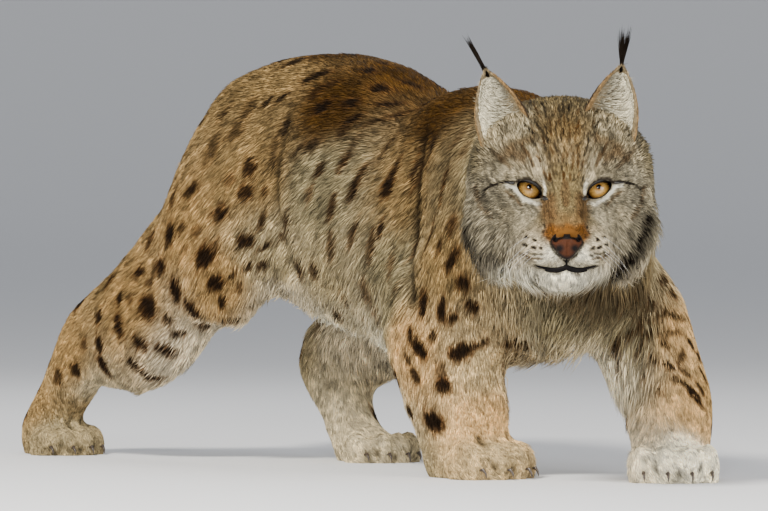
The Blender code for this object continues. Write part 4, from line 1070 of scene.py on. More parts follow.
# %% Face strokes
# Colour, strength, half width, then the points of the line. Later strokes cover earlier ones.
BOTH_STROKES = (
    ("fawn", 0.60, 15.0, ((0, 24), (0, 60))),
    ("pale", 0.40, 6.0, ((27, 24), (30, 38), (26, 50))),
    ("ash", 0.30, 4.0, ((5, 30), (7, 50))),
    ("fawn", 0.50, 12.0, ((14, 44), (16, 66))),
    ("brown", 0.70, 6.0, ((44, 34), (54, 40), (66, 36))),
    ("brown", 0.60, 4.0, ((34, 54), (50, 50), (66, 42))),
    ("mink", 0.60, 8.0, ((0, 84), (14, 80), (26, 74))),
    ("pale", 0.75, 6.0, ((40, 68), (52, 62), (66, 54), (78, 46))),
    ("pale", 0.60, 7.0, ((70, 44), (80, 34))),
    ("pale", 0.75, 9.0, ((60, -26), (52, -36))),
    ("ash", 0.60, 8.0, ((46, -30), (60, -46))),
    ("white", 1.00, 2.0, ((25, -14), (33, -14.3), (41, -10.5), (47.5, -4), (53, 2.5), (60, 5))),
    ("white", 1.00, 1.7, ((20.5, -9), (20.5, 2), (24, 10))),
    ("black", 0.95, 2.0, ((26, 2), (30, 8), (38, 11.5), (46, 11), (52, 8))),
    ("pale", 0.70, 3.2, ((25, 10), (31, 20), (37, 32))),
    ("brown", 0.80, 1.3, ((60, -1), (52, -8.5), (45, -16))),
    ("black", 1.00, 1.5, ((48, 9), (56, 8.5), (66, 7.5), (76, 5.5), (83, 0))),
    ("black", 0.75, 2.2, ((82, 0), (84, -9), (80, -20))),
    ("black", 0.45, 2.6, ((80, -28), (76, -40), (70, -52))),
    ("brown", 0.85, 6.5, ((20, -14), (19, -26), (16, -33))),
    ("drab", 0.85, 13.0, ((0, -30), (0, 14))),
    ("brown", 0.80, 5.0, ((15, -26), (15, -8))),
    ("orange", 0.25, 9.0, ((0, -33), (10, -33))),
    ("orange", 1.00, 7.0, ((0, -44), (13, -44))),
    ("orange", 0.95, 5.0, ((16, -41), (20, -47), (17, -53))),
    ("white", 0.95, 4.5, ((20, -62), (12, -70))),
    ("black", 0.95, 1.5, ((18, -55), (14, -62), (8, -69), (0, -75))),
    ("brown", 0.55, 3.0, ((0, -14), (3, -4), (0, 8))),
    ("black", 0.85, 1.0, ((22, -37), (22.5, -39))),
    ("black", 0.85, 1.1, ((23.5, -43), (24, -45.5))),
    ("black", 0.70, 0.9, ((20, -49), (21, -50))),
    ("black", 0.60, 2.0, ((17, -22), (16, -28))),
    ("umber", 0.80, 2.0, ((33, 26), (37, 36), (45, 47))),
    ("umber", 0.60, 2.4, ((56, 24), (66, 32), (76, 44))),
    ("cream", 0.85, 10.0, ((30, -62), (38, -58))),
    ("white", 0.80, 5.0, ((18, -70), (28, -72))),
    ("black", 1.00, 1.7, ((32, -52), (33.5, -52.5))),
    ("black", 1.00, 1.7, ((40, -49), (41.5, -49.5))),
    ("black", 1.00, 1.8, ((26, -61), (28, -60.5))),
    ("black", 1.00, 1.8, ((33.5, -60), (36, -59.5))),
    ("black", 1.00, 1.7, ((41, -58), (44, -57))),
    ("black", 0.80, 1.2, ((25, -67.5), (32, -67), (40, -65))),
    ("umber", 0.80, 1.4, ((26, -72), (36, -71), (46, -67))),
    ("white", 0.95, 9.0, ((0, -93), (15, -92))),
    ("white", 0.80, 7.0, ((0, -103), (20, -101))),
    ("white", 0.80, 10.0, ((34, -92), (48, -96))),
    ("black", 0.85, 1.5, ((6, -83), (16, -83.5), (26, -81), (33, -79))),
    ("umber", 0.70, 1.6, ((8, -87), (13, -88))),
)
SIDE_STROKES = (
    ("black", 1.00, 8.0, ((93, -32), (88, -50), (78, -70), (60, -91), (40, -106))),
    ("black", 1.00, 5.5, ((-104, -42), (-98, -66), (-87, -89), (-74, -104), (-60, -113))),
    ("black", 0.85, 3.5, ((-62, -72), (-70, -84))),
    ("white", 1.00, 11.0, ((-30, -100), (-48, -102), (-64, -92))),
    ("umber", 0.80, 2.2, ((74, -30), (84, -14), (86, 4))),
    ("umber", 0.70, 2.2, ((-74, -30), (-88, -14), (-92, 4))),
    # Under the chin a dark band: brown hair, with painted shade of the head over it
    ("throat_brown_and_shade", 0.90, 9.0, ((-50, -126), (0, -125), (44, -116))),
)
strokes = [(side, *row) for row in BOTH_STROKES for side in (1, -1)]
strokes += [(1, *row) for row in SIDE_STROKES]
print("strokes", len(strokes))

# %% [markdown]
# Short broken streaks fan up a lynx's forehead from between the eyes. Drawn as long lines they
# would look like a mask, and as noise they would have no direction. So rows of short strokes are
# laid one above the other, staggered like bricks, each a little off its place.

# %% Forehead streaks
STREAK_GAP, ROW_GAP = 4.6, 9
for row, foot in enumerate(range(12, 88, ROW_GAP)):
    wide = 20 + 0.30 * (foot - 12)
    for x in np.arange(-wide, wide, STREAK_GAP) + STREAK_GAP / 2 * (row % 2):
        x, z = x + luck.normal(0, 0.9), foot + luck.normal(0, 2.0)
        top = (x * 1.14 + luck.normal(0, 0.8), z + luck.uniform(5, 9))
        tone = "umber" if luck.uniform() < 0.45 else "black"
        strokes.append((1, tone, luck.uniform(0.45, 1.0), luck.uniform(0.8, 1.5), ((x, z), top)))
print("strokes with the streaks", len(strokes))

# %% [markdown]
# The strokes now colour the face. Black is kept apart from the other colours, because the pelt's
# finish treats it as the spots' own. Small flecks of dark hair are sown between the strokes, most
# on the forehead and few on the white.

# %% Markings


def stroke_marks(local, ground):
    """The ground colour of points in the head's frame, with the face's strokes laid over it."""
    flat = local[:, [0, 2]] * 1000
    flat = flat + 0.9 * np.column_stack([wobble(local, 0.008), wobble(local, 0.008, 2)])
    flecks = wobble(local * (1.7, 0.7, 0.8), 0.0046, 1) + 0.6 * wobble(local, 0.013, 2)
    high = np.clip((local[:, 2] + 0.045) / 0.03, 0, 1) * np.clip((local[:, 1] + 0.058) / 0.02, 0, 1)
    front = np.clip((0.115 - local[:, 1]) / 0.03, 0, 1)
    ground = ground * (1 + 0.22 * np.clip(-flecks, -1, 1) * high)[:, None]
    black = np.zeros(len(local))
    for side, colour, strength, half_width, line in strokes:
        line = np.array(line, float) * (side, 1)
        soft = 0.30 if half_width < 4 else 0.6
        near = np.flatnonzero(np.abs(flat[:, 0] - line[:, 0].mean()) < 40 + np.ptp(line[:, 0]))
        inside = half_width * (1 + soft) - from_line(flat[near], line)
        share = np.clip(inside / (half_width * 2 * soft), 0, 1) * strength * front[near]
        if colour == "black":
            black[near] = np.maximum(black[near], share)
        else:
            ground[near] += (np.array(COLOURS[colour]) - ground[near]) * share[:, None]
            black[near] *= 1 - share * 0.8
    tinted = np.clip((0.50 - ground.mean(1)) / 0.2, 0, 1)
    mottle = np.clip(flecks * 1.8 - 0.40, 0, 1) * (0.14 + 0.40 * high) * tinted
    return ground, np.maximum(black, mottle)


def markings(points, ground):
    """The ground colour, how black and how rusty each point of skin or hair is."""
    ground = ground.copy()
    black, rusty = spots_and_crease_shade(points)
    local = placed(HEAD.inverted(), points)
    face = (local[:, 1] < 0.115) & (np.abs(local[:, 0]) < 0.125) & (local[:, 2] > -0.135)
    black[face] = 0
    rusty[face] = 0
    ground[face], black[face] = stroke_marks(local[face], ground[face])
    patches = 1 + 0.15 * wobble(points, 0.07) + 0.15 * wobble(points, 0.022, 1)
    return ground * patches[:, None], black, rusty


# %% [markdown]
# A finish is built from shader nodes. Wiring each by hand in the editor is the usual way, and short
# helpers do the same in code: one blends two colours, one reckons, one reads an attribute, one
# makes a ramp. They are used by the pelt, the eyes and the nose.

# %% Shader helpers


def shader_group(name, inputs, outputs):
    group = bpy.data.node_groups.new(name, "ShaderNodeTree")
    for kind, label in inputs:
        group.interface.new_socket(name=label, in_out="INPUT", socket_type=kind)
    for kind, label in outputs:
        group.interface.new_socket(name=label, in_out="OUTPUT", socket_type=kind)
    return group, group.nodes.new("NodeGroupInput"), group.nodes.new("NodeGroupOutput")


def plug(tree, socket, value):
    if isinstance(value, bpy.types.NodeSocket):
        tree.links.new(value, socket)
    else:
        socket.default_value = value


def blend_node(tree, factor, first, second, mode="MIX"):
    mix = tree.nodes.new("ShaderNodeMix")
    mix.data_type = "RGBA"
    mix.blend_type = mode
    for socket, value in ((mix.inputs[0], factor), (mix.inputs[6], first), (mix.inputs[7], second)):
        plug(tree, socket, value)
    return mix.outputs[2]


def reckon(tree, kind, first, second, clamp=False):
    node = tree.nodes.new("ShaderNodeMath")
    node.operation = kind
    node.use_clamp = clamp
    plug(tree, node.inputs[0], first)
    plug(tree, node.inputs[1], second)
    return node.outputs[0]


def attribute(tree, name):
    node = tree.nodes.new("ShaderNodeAttribute")
    node.attribute_name = name
    return node


def ramp_node(tree, factor, stops):
    node = tree.nodes.new("ShaderNodeValToRGB")
    while len(node.color_ramp.elements) < len(stops):
        node.color_ramp.elements.new(0.5)
    for element, (place, value) in zip(node.color_ramp.elements, stops):
        element.position = place
        element.color = value
    tree.links.new(factor, node.inputs[0])
    return node.outputs[0]


# %% [markdown]
# Up close a winter coat is never one colour: single tufts are darker or lighter than their
# neighbours and some tips are frosted, and each root is darkened as painted shade, the shade that
# the coat casts on its own roots. One node group makes all that from the attributes, and skin and
# coat share it, so that a gap between tufts never shows.

# %% Pelt group
# Painted shade at the roots: how far a root darkens, and the dark brown it is blended towards
ROOT_PAINTED_SHADE = 0.45
FROST_TINT = (2.2, 2.05, 1.75, 1)
ROOT_SHADE_COLOUR = (0.030, 0.018, 0.009, 1)
BRIGHTER = (1.5, 1.5, 1.5, 1)
pelt, given, result = shader_group(
    "Pelt",
    (("NodeSocketColor", "Spot_and_crease_shade"), ("NodeSocketColor", "Rim"), ("NodeSocketFloat", "Frost")),
    (("NodeSocketColor", "Color"), ("NodeSocketFloat", "Roughness")),
)
marks = attribute(pelt, "marks")
split = pelt.nodes.new("ShaderNodeSeparateColor")
pelt.links.new(marks.outputs["Color"], split.inputs[0])
black_and_crease_shade, rusty_share, up_hair = split.outputs
chance = marks.outputs["Alpha"]
colour = blend_node(pelt, rusty_share, attribute(pelt, "ground").outputs["Color"], given.outputs["Rim"])
greys = ((0.0, 0.30), (0.14, 0.50), (0.35, 0.62), (0.75, 0.72), (0.92, 0.86), (1.0, 1.0))
tick = ramp_node(pelt, chance, [(place, (v, v, v, 1)) for place, v in greys])
colour = blend_node(pelt, 1.0, colour, tick, "MULTIPLY")
colour = blend_node(pelt, 1.0, colour, BRIGHTER, "MULTIPLY")
frosted = reckon(pelt, "MULTIPLY", up_hair, given.outputs["Frost"])
frosted = reckon(pelt, "MULTIPLY", frosted, chance, True)
frost = blend_node(pelt, 1.0, colour, FROST_TINT, "MULTIPLY")
colour = blend_node(pelt, frosted, colour, frost)
# Painted shade: the lower on the hair, the more it is darkened
root_shade = reckon(pelt, "SUBTRACT", 1.0, up_hair)
root_shade = reckon(pelt, "MULTIPLY", root_shade, ROOT_PAINTED_SHADE)
colour = blend_node(pelt, root_shade, colour, ROOT_SHADE_COLOUR)
# Near black for the spots, and painted shade in the folds and between the toes
colour = blend_node(pelt, black_and_crease_shade, colour, given.outputs["Spot_and_crease_shade"])
pelt.links.new(colour, result.inputs["Color"])
rough = reckon(pelt, "MULTIPLY", chance, 0.15)
rough = reckon(pelt, "ADD", rough, 0.62)
pelt.links.new(rough, result.inputs["Roughness"])
print("pelt group", len(pelt.nodes), "nodes")

# %% [markdown]
# Fur hardly shines as a whole, so its specular level is low and its roughness high. Hair shaders
# exist, but they need real strands and don't survive the export. Skin and coat differ only in
# the frost, which belongs to the tips. The skin then gets its markings.

# %% Skin and coat finishes
# Near black of the spots, also used for the painted shade in the folds and between the toes
SPOT_AND_CREASE_SHADE_COLOUR = (0.009, 0.006, 0.004, 1)
RIM_COLOUR = (0.130, 0.056, 0.016, 1)
COAT_FROST = 0.35


def finish_material(name, roughness=0.5, colour=(0.5, 0.5, 0.5, 1)):
    made = bpy.data.materials.new(name)
    made.use_nodes = True
    shader = made.node_tree.nodes["Principled BSDF"]
    shader.inputs["Roughness"].default_value = roughness
    shader.inputs["Base Color"].default_value = colour
    return made, made.node_tree, shader


def pelt_material(name, frost):
    made, tree, shader = finish_material(name)
    group = tree.nodes.new("ShaderNodeGroup")
    group.node_tree = pelt
    group.inputs["Spot_and_crease_shade"].default_value = SPOT_AND_CREASE_SHADE_COLOUR
    group.inputs["Rim"].default_value = RIM_COLOUR
    group.inputs["Frost"].default_value = frost
    tree.links.new(group.outputs["Color"], shader.inputs["Base Color"])
    tree.links.new(group.outputs["Roughness"], shader.inputs["Roughness"])
    shader.inputs["Specular IOR Level"].default_value = 0.04
    return made


skin_finish = pelt_material("skin and underfur", 0.0)
coat_finish = pelt_material("coat", COAT_FROST)


def colour_attribute(obj, name, rows):
    layer = obj.data.color_attributes.new(name, "FLOAT_COLOR", "POINT")
    layer.data.foreach_set("color", np.asarray(rows, np.float32).ravel())


def with_alpha(rows):
    return np.column_stack([rows, np.ones(len(rows))])


def paint(obj, ground, black, rusty, up_hair, chance):
    """Keep what the pelt group reads as attributes of the mesh."""
    colour_attribute(obj, "ground", with_alpha(ground))
    full = [np.broadcast_to(v, len(ground)) for v in (black, rusty, up_hair, chance)]
    colour_attribute(obj, "marks", np.column_stack(full))


# The skin counts as hair 0.45 of the way up, so it gets part of the painted root shade
paint(skin, *markings(points, ground_colours), 0.45, 0.45)
skin.data.materials.append(skin_finish)
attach(skin, "root")
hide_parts(*flesh)
tell(skin)

# %% [markdown]
# Each tuft needs a root: a place on the skin, the skin's normal there and a place on its unwrap.
# A hair system could strew them, but the export drops it. So roots are drawn at random over the
# skin's triangles, more where the hair is short and thin, in even steps so that no bare patch or
# crowd comes about.

# %% Roots


def unwrap(obj):
    only(obj)
    bpy.ops.object.mode_set(mode="EDIT")
    bpy.ops.mesh.select_all(action="SELECT")
    bpy.ops.uv.smart_project(angle_limit=math.radians(66), island_margin=0.002)
    bpy.ops.object.mode_set(mode="OBJECT")
    obj.data.uv_layers[0].name = "unwrap"


unwrap(skin)
print("unwrap", skin.data.uv_layers[0].name)


def strewn(obj, density):
    """Roots spread over a mesh, with density tufts per square metre at each vertex."""
    mesh = obj.data
    mesh.calc_loop_triangles()
    count = len(mesh.loop_triangles)
    corners, loops = np.empty(count * 3, np.int32), np.empty(count * 3, np.int32)
    mesh.loop_triangles.foreach_get("vertices", corners)
    mesh.loop_triangles.foreach_get("loops", loops)
    corners, loops = corners.reshape(-1, 3), loops.reshape(-1, 3)
    co, no = positions(obj), vertex_normals(obj)
    a, b, c = (co[corners[:, k]] for k in range(3))
    area = np.linalg.norm(np.cross(b - a, c - a), axis=1) / 2
    wanted = area * density[corners].mean(1)
    total = int(wanted.sum())
    steps = (np.arange(total) + luck.uniform(0, 1, total)) * wanted.sum() / max(total, 1)
    chosen = np.minimum(np.searchsorted(np.cumsum(wanted), steps), count - 1)
    r1, r2 = np.sqrt(luck.uniform(size=total)), luck.uniform(size=total)
    shares = np.column_stack([1 - r1, r1 * (1 - r2), r1 * r2])

    def take(rows):
        return np.einsum("ij,ij...->i...", shares, rows[corners[chosen]])

    flat = np.empty(len(mesh.loops) * 2, np.float32)
    mesh.uv_layers[0].data.foreach_get("uv", flat)
    uv = np.einsum("ij,ijk->ik", shares, flat.reshape(-1, 2)[loops[chosen]])
    return (take(co), unit(take(no)), uv), take


# %% [markdown]
# Winter hair clings together in small locks. A coat of single hairs would be far too heavy, so
# each tuft is a small closed spindle of six faces: a point under the skin, a ring of three, and
# a long tip. Neighbours lean together, and where the body bends away or folds, what would dive
# under the skin is brought out again.

# %% Tufts
# Half a patch on the unwrap, and the faces of the spindle
PATCH = 0.0015
SPINDLE = np.array([(0, 2, 1), (0, 3, 2), (0, 1, 3), (1, 2, 4), (2, 3, 4), (3, 1, 4)])
# How far up the hair each of its five points is, for the painted shade at the root
UP_HAIR = (0.1, 0.62, 0.62, 0.66, 1.0)
FURTHEST_LEAN = 0.016


def leaned_together(root, tip, group_size, pull):
    """Tips drawn towards the tip of the lock that each tuft belongs to."""
    leaders = luck.permutation(len(root))[: max(1, len(root) // group_size)]
    tree = KDTree(len(leaders))
    for i, leader in enumerate(leaders):
        tree.insert(root[leader], i)
    tree.balance()
    mine = leaders[[tree.find(r)[1] for r in root]]
    offset = tip[mine] - tip
    size = np.linalg.norm(offset, axis=1, keepdims=True)
    offset *= np.minimum(1, FURTHEST_LEAN / np.maximum(size, 1e-9))
    return tip + offset * pull, mine


def brought_out(places, heights):
    """Places that lie under the skin, or lower over it than their height, are brought out to it."""
    out = places.copy()
    for i, (place, height) in enumerate(zip(places, heights)):
        near, normal, _, gap = skin_tree.find_nearest(place)
        if gap < 0.02 and (Vector(place) - near).dot(normal) < height:
            out[i] = near + normal * height
    return out


def tuft_points(roots, shape, locks, loose, drawn):
    """The five points of every tuft, and the leader of the lock that each belongs to."""
    root, normal, _ = roots
    way, length, width, lift = shape
    total = len(root)
    spin = luck.normal(0, loose, total) + 0.14 * wobble(root, 0.035, 1)
    way = unit(way * np.cos(spin)[:, None] + np.cross(normal, way) * np.sin(spin)[:, None])
    side = unit(np.cross(normal, way))
    lift = lift * np.clip(luck.normal(1, 0.22, total), 0.4, 1.8)
    length = length * luck.uniform(0.75, 1.15, total)
    base = root - normal * np.minimum(0.0012, length * 0.15)[:, None]
    rise = way * np.cos(lift * 1.3)[:, None] + normal * np.sin(lift * 1.3)[:, None]
    lay = way * np.cos(lift * 0.3)[:, None] + normal * np.sin(lift * 0.3)[:, None]
    middle = base + rise * (length * 0.42)[:, None]
    straight = middle + lay * (length * 0.58)[:, None]
    tip, mine = leaned_together(root, straight, *locks)
    middle = middle + (tip - straight) * 0.3
    if drawn:
        middle = brought_out(middle, np.minimum(0.0012, length * 0.05))
        tip = brought_out(tip, np.minimum(0.0018, length * 0.06))
    tip[:, 2] = np.maximum(tip[:, 2], 0.0006)
    middle[:, 2] = np.maximum(middle[:, 2], 0.0012)
    half = side * (width / 2)[:, None]
    ridge = normal * (width * 0.45)[:, None]
    return np.stack([base, middle - half, middle + half, middle + ridge, tip], axis=1), mine


def tuft_mesh(name, rows, uv):
    """A mesh of spindles that face outwards, with a patch on the unwrap for each."""
    total = len(rows)
    pattern = SPINDLE
    first = rows[0]
    if sum(np.dot(first[a], np.cross(first[b], first[c])) for a, b, c in pattern) < 0:
        pattern = pattern[:, ::-1]
    faces = (np.arange(total)[:, None, None] * 5 + pattern).reshape(-1)
    mesh = bpy.data.meshes.new(name)
    mesh.vertices.add(total * 5)
    mesh.vertices.foreach_set("co", rows.astype(np.float32).ravel())
    mesh.loops.add(len(faces))
    mesh.loops.foreach_set("vertex_index", faces.astype(np.int32))
    mesh.polygons.add(len(faces) // 3)
    mesh.polygons.foreach_set("loop_start", np.arange(0, len(faces), 3, dtype=np.int32))
    mesh.polygons.foreach_set("use_smooth", np.ones(len(faces) // 3, bool))
    mesh.update(calc_edges=True)
    corner = np.array([(0, -1), (-1, 0), (1, 0), (0, 0.2), (0, 1)]) * PATCH
    spread = (uv[:, None] + corner).reshape(-1, 2)
    uv_map = mesh.uv_layers.new(name="OFBake")
    uv_map.data.foreach_set("uv", spread[faces].astype(np.float32).ravel())
    obj = bpy.data.objects.new(name, mesh)
    bpy.context.scene.collection.objects.link(obj)
    return obj


def grow(name, roots, look, locks=(10, 0.25), loose=0.13, drawn=False, contrast=1.5):
    """A coat piece. Roots are place, normal and uv. The look is way, length, width, lift, colours."""
    shape, (ground, black, rusty) = look[:4], look[4:]
    rows, mine = tuft_points(roots, shape, locks, loose, drawn)
    total = len(rows)
    obj = tuft_mesh(name, rows, roots[2])
    chance = luck.uniform(0, 1, total)
    chance = np.clip(0.5 + contrast * (0.4 * chance + 0.6 * chance[mine] - 0.5), 0, 1)
    marks = [np.repeat(np.asarray(v, float)[:, None], 5, axis=1) for v in (ground, black, rusty)]
    if drawn:
        middle, tip = rows[:, 1:3].mean(1), rows[:, 4]
        for corners, where in ((slice(0, 4), middle), (slice(4, 5), tip)):
            for row, value in zip(marks, markings(where, ground)):
                row[:, corners] = value[:, None]
        marks[1] = np.maximum(marks[1], black[:, None])
    marks = (v.reshape(total * 5, *v.shape[2:]) for v in marks)
    paint(obj, *marks, np.tile(UP_HAIR, total), np.repeat(chance, 5))
    obj.data.materials.append(coat_finish)
    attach(obj, "root")
    return obj


def grow_in_parts(name, roots, look, **ways):
    """Coat pieces that each stay under the limit of triangles, split from front to back."""
    parts = max(1, math.ceil(len(roots[0]) / MOST_TUFTS))
    order = np.argsort(roots[0][:, 1], kind="stable")
    for number, part in enumerate(np.array_split(order, parts)):
        label = name if parts == 1 else f"{name}_{number + 1}"
        grow(label, [r[part] for r in roots], [v[part] for v in look], **ways)
    return len(roots[0])


# %% [markdown]
# The coat must hide the skin and still weigh little. An even number of tufts all over would be too
# thin on the face, where the hair is short. So each place gets the tufts that cover it once and a
# half, and the face two and a half times. The nose and the slits of the eyes stay bare.

# %% Cover
MOST_TUFTS = 33000
BODY_COVER, FACE_COVER = 1.50, 2.45
NOSE_MIDDLE, NOSE_REACH = (0, -0.070, -0.0555), (0.0158, 0.014, 0.0170)


def on_face_side(local):
    """Which points of the head's frame are on the head and not on the neck."""
    return (local[:, 1] < 0.100) & (np.abs(local[:, 0]) < 0.12) & (local[:, 2] > -0.125)


width = np.clip(hair_length * 0.046 + 0.0003, 0.0006, 0.0013)
density = BODY_COVER / (0.5 * hair_length * width)
density[(points[:, 2] < 0.006) & (normals[:, 2] < -0.5)] = 0
local = placed(HEAD.inverted(), points)
density[on_face_side(local)] *= FACE_COVER / BODY_COVER
density[np.linalg.norm((local - NOSE_MIDDLE) / NOSE_REACH, axis=1) < 1] = 0
roots, take = strewn(skin, density)
local = placed(HEAD.inverted(), roots[0])
keep = np.ones(len(local), bool)
for side in (-1, 1):
    edge = eye_outline(side, 0.0026) - (side * EYE_HALF, 0)
    edge_angle = np.arctan2(edge[:, 1], edge[:, 0])
    order = np.argsort(edge_angle)
    flat = local[:, [0, 2]] - (side * EYE_HALF, 0)
    angle = np.arctan2(flat[:, 1], flat[:, 0])
    reach = np.interp(angle, edge_angle[order], np.hypot(*edge.T)[order], period=2 * math.pi)
    keep &= (np.hypot(*flat.T) > reach) | (local[:, 1] > 0.05)
roots, local = [r[keep] for r in roots], local[keep]
values = (lie, hair_length, hair_lift, width, ground_colours)
way, length, lift, width, ground_colour = (take(v)[keep] for v in values)
print("roots", len(local))

# %% [markdown]
# Single dark guard hairs stand out of the coat, fewer where it is white. A piece of mesh should
# stay small enough to handle, so the tufts are grown by regions of the body, and a large region
# in parts. The markings are worked out again at each tuft's middle and tip, so that a spot's edge
# runs along the hairs and not across them.

# %% Coat
guard = luck.uniform(size=len(way)) < np.where(ground_colour.mean(1) > 0.42, 0.02, 0.10)
guard = guard * luck.uniform(0.3, 0.8, len(way))
body_place = placed(BODY.inverted(), roots[0])
face = on_face_side(local)
before, low = body_place[:, 1], body_place[:, 2] <= 0.2
regions = {
    "face": face & (local[:, 1] < 0.0),
    "head": face & (local[:, 1] >= 0.0),
    "fore": ~face & (before < 0.06) & ~low,
    "fore_legs": ~face & (before < 0.13) & low,
    "trunk": ~face & (before >= 0.06) & (before < 0.40) & ~low,
    "hind": ~face & (before >= 0.40) & ~low,
    "hind_legs": ~face & (before >= 0.13) & low,
}
tuft_total = 0
for region, inside in regions.items():
    chosen = np.flatnonzero(inside)
    look = [v[chosen] for v in (way, length, width, lift, ground_colour, guard, guard * 0)]
    tuft_total += grow_in_parts(f"coat_{region}", [r[chosen] for r in roots], look, drawn=True)
print("tufts", tuft_total, "triangles", tuft_total * 6)

# %% [markdown]
# A lynx's eye is an amber disc with a small round pupil under a clear, wet dome. A glass dome over
# a flat iris is the usual way, but the export can't carry its refraction. So each eye is one ball
# with a bulging front and a clear coat. How far a point is from the middle of the gaze is kept
# as an attribute, and the colours run outwards along it, crossed by fine rays.

# %% Eyes
# Radii of pupil and iris, as shares of the ball's
PUPIL, IRIS = 0.14, 0.80
BULGE, LID_ROOM = 0.0007, 0.0002
# The gaze is raised a little, to the middle of the slit
GAZE = Matrix.Rotation(math.radians(-13), 4, "X")


def eye_material():
    made, tree, shader = finish_material("eye", 0.10)
    gaze = attribute(tree, "gaze")
    split = tree.nodes.new("ShaderNodeSeparateColor")
    tree.links.new(gaze.outputs["Color"], split.inputs[0])
    rays = tree.nodes.new("ShaderNodeTexNoise")
    rays.inputs["Scale"].default_value = 7
    rays.inputs["Detail"].default_value = 5
    tree.links.new(gaze.outputs["Color"], rays.inputs["Vector"])
    stops = (
        (0.0, (0.001, 0.001, 0.001, 1)),
        (PUPIL, (0.002, 0.001, 0.001, 1)),
        (PUPIL + 0.03, (0.260, 0.115, 0.018, 1)),
        (0.36, (0.520, 0.300, 0.078, 1)),
        (0.62, (0.450, 0.240, 0.052, 1)),
        (IRIS - 0.05, (0.160, 0.062, 0.010, 1)),
        (IRIS, (0.006, 0.004, 0.003, 1)),
    )
    colour = ramp_node(tree, split.outputs[2], stops)
    strength = reckon(tree, "MULTIPLY", rays.outputs["Fac"], 1.3)
    strength = reckon(tree, "ADD", strength, 0.30)
    colour = blend_node(tree, 1.0, colour, strength, "MULTIPLY")
    tree.links.new(colour, shader.inputs["Base Color"])
    shader.inputs["Specular IOR Level"].default_value = 0.25
    shader.inputs["Coat Weight"].default_value = 0.8
    shader.inputs["Coat Roughness"].default_value = 0.02
    return made


eye_finish = eye_material()
for side, name in ((-1, "right"), (1, "left")):
    centre = np.array((side * EYE_HALF, EYE_DEPTH, 0))
    eyeball = ball(f"eyeball_{name}", (0, 0, 0), (1, 1, 1), (90, 0, 0), 96)
    rows = unit(positions(eyeball))
    flat = np.hypot(rows[:, 0], rows[:, 2])
    front = rows[:, 1] < 0
    bulge = np.where(front, BULGE * np.clip(1 - (flat / IRIS) ** 2, 0, 1), 0)
    reach = (EYE_RADIUS - LID_ROOM + bulge)[:, None]
    move_to(eyeball, placed(HEAD, placed(GAZE, rows * reach) + centre))
    angle = np.arctan2(rows[:, 2], rows[:, 0])
    ring = np.where(front, flat, 1.0)
    gaze = np.column_stack([np.cos(angle) * 2 + 3, np.sin(angle) * 2 + 3, ring, np.ones(len(rows))])
    colour_attribute(eyeball, "gaze", gaze)
    eyeball.data.materials.append(eye_finish)
    smooth(eyeball)
    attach(eyeball, "root")
    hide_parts(f"eye_{name}")
    tell(eyeball)

# %% [markdown]
# Thin round things follow a line on the animal: the rims of the lids, the lips, whiskers and
# claws. A curve with a bevel gives them too, but only one thickness profile for all, so this tool
# sweeps a ring along a line with a radius of its own at each point.

# %% Swept lines


def swept(name, centres, radii, sides=10, closed=False):
    """A tube along a line with its own radius at each point."""
    centres = np.asarray(centres, float)
    count = len(centres)
    if closed:
        along = unit(np.roll(centres, -1, axis=0) - np.roll(centres, 1, axis=0))
    else:
        along = unit(np.gradient(centres, axis=0))
    wide = unit(np.cross(along, (0.02, 1.0, 0.05)))
    deep = np.cross(along, wide)
    turns = np.arange(sides) * 2 * math.pi / sides
    spokes = wide[:, None] * np.cos(turns)[:, None] + deep[:, None] * np.sin(turns)[:, None]
    rows = centres[:, None] + spokes * np.asarray(radii)[:, None, None]
    faces = []
    for i in range(count if closed else count - 1):
        j = (i + 1) % count
        for k in range(sides):
            n = (k + 1) % sides
            faces.append((i * sides + k, i * sides + n, j * sides + n, j * sides + k))
    if not closed:
        faces += [tuple(range(sides)), tuple(range((count - 1) * sides, count * sides))]
    return facing_out(mesh_object(name, rows.reshape(-1, 3), faces))


# %% [markdown]
# The lids end in a bare black rim, thicker above, which makes the cat's sharp stare. Painting it
# on the lids would leave it flat and furry, so it is a ring swept along the slit, with a pointed
# corner drawn out towards the nose and a short one outwards.

# %% Lid rims
RIM, RIM_STEPS = 0.0021, 64
rims = []
slant_x, slant_z = math.cos(SLANT), math.sin(SLANT)
for side in (-1, 1):
    line = on_eye(side, eye_outline(side, 0.0010, RIM_STEPS), EYE_RADIUS + 0.0013)
    t = np.arange(RIM_STEPS) * 2 * math.pi / RIM_STEPS
    rims.append(swept("rim", line, RIM + RIM * np.clip(np.sin(t), 0, 1), closed=True))
    corner = line[RIM_STEPS // 2]
    inward = np.array([-side * slant_x, 0, -slant_z])
    tear = [corner - inward * 0.002]
    for step in (0.0012, 0.0030, 0.0050):
        spot = corner + inward * step
        tear.append(np.array(on_face(spot[0], spot[2], 0.0002)))
    rims.append(swept("tear", tear, (0.0024, 0.0026, 0.0020, 0.0005)))
    corner = line[0]
    outer = [corner]
    for step in (0.003, 0.007, 0.012):
        outer.append(np.array(on_face(corner[0] + side * step, corner[2] + 0.05 * step, 0.0003)))
    rims.append(swept("outer corner", outer, (0.0016, 0.0015, 0.0011, 0.0003)))
lid_rims = joined("lid_rims", rims)
lid_rims.data.transform(HEAD)
rim_finish, _, _ = finish_material("wet dark rim", 0.28, (0.008, 0.006, 0.005, 1))
lid_rims.data.materials.append(rim_finish)
smooth(lid_rims)
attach(lid_rims, "root")
tell(lid_rims)

# %% [markdown]
# The nose is a pad of bare brick-brown leather, wide above and narrow below, with two comma
# nostrils, a groove and a dark edge. It could be cut from a box, but its corners are soft, so a
# dense ball is pressed into that shape. Three dents that run into each other make a comma.

# %% Nose
NOSE_HALF, NOSE_ABOVE, NOSE_BELOW, NOSE_DEEP = 0.0172, 0.0142, 0.0158, 0.0090
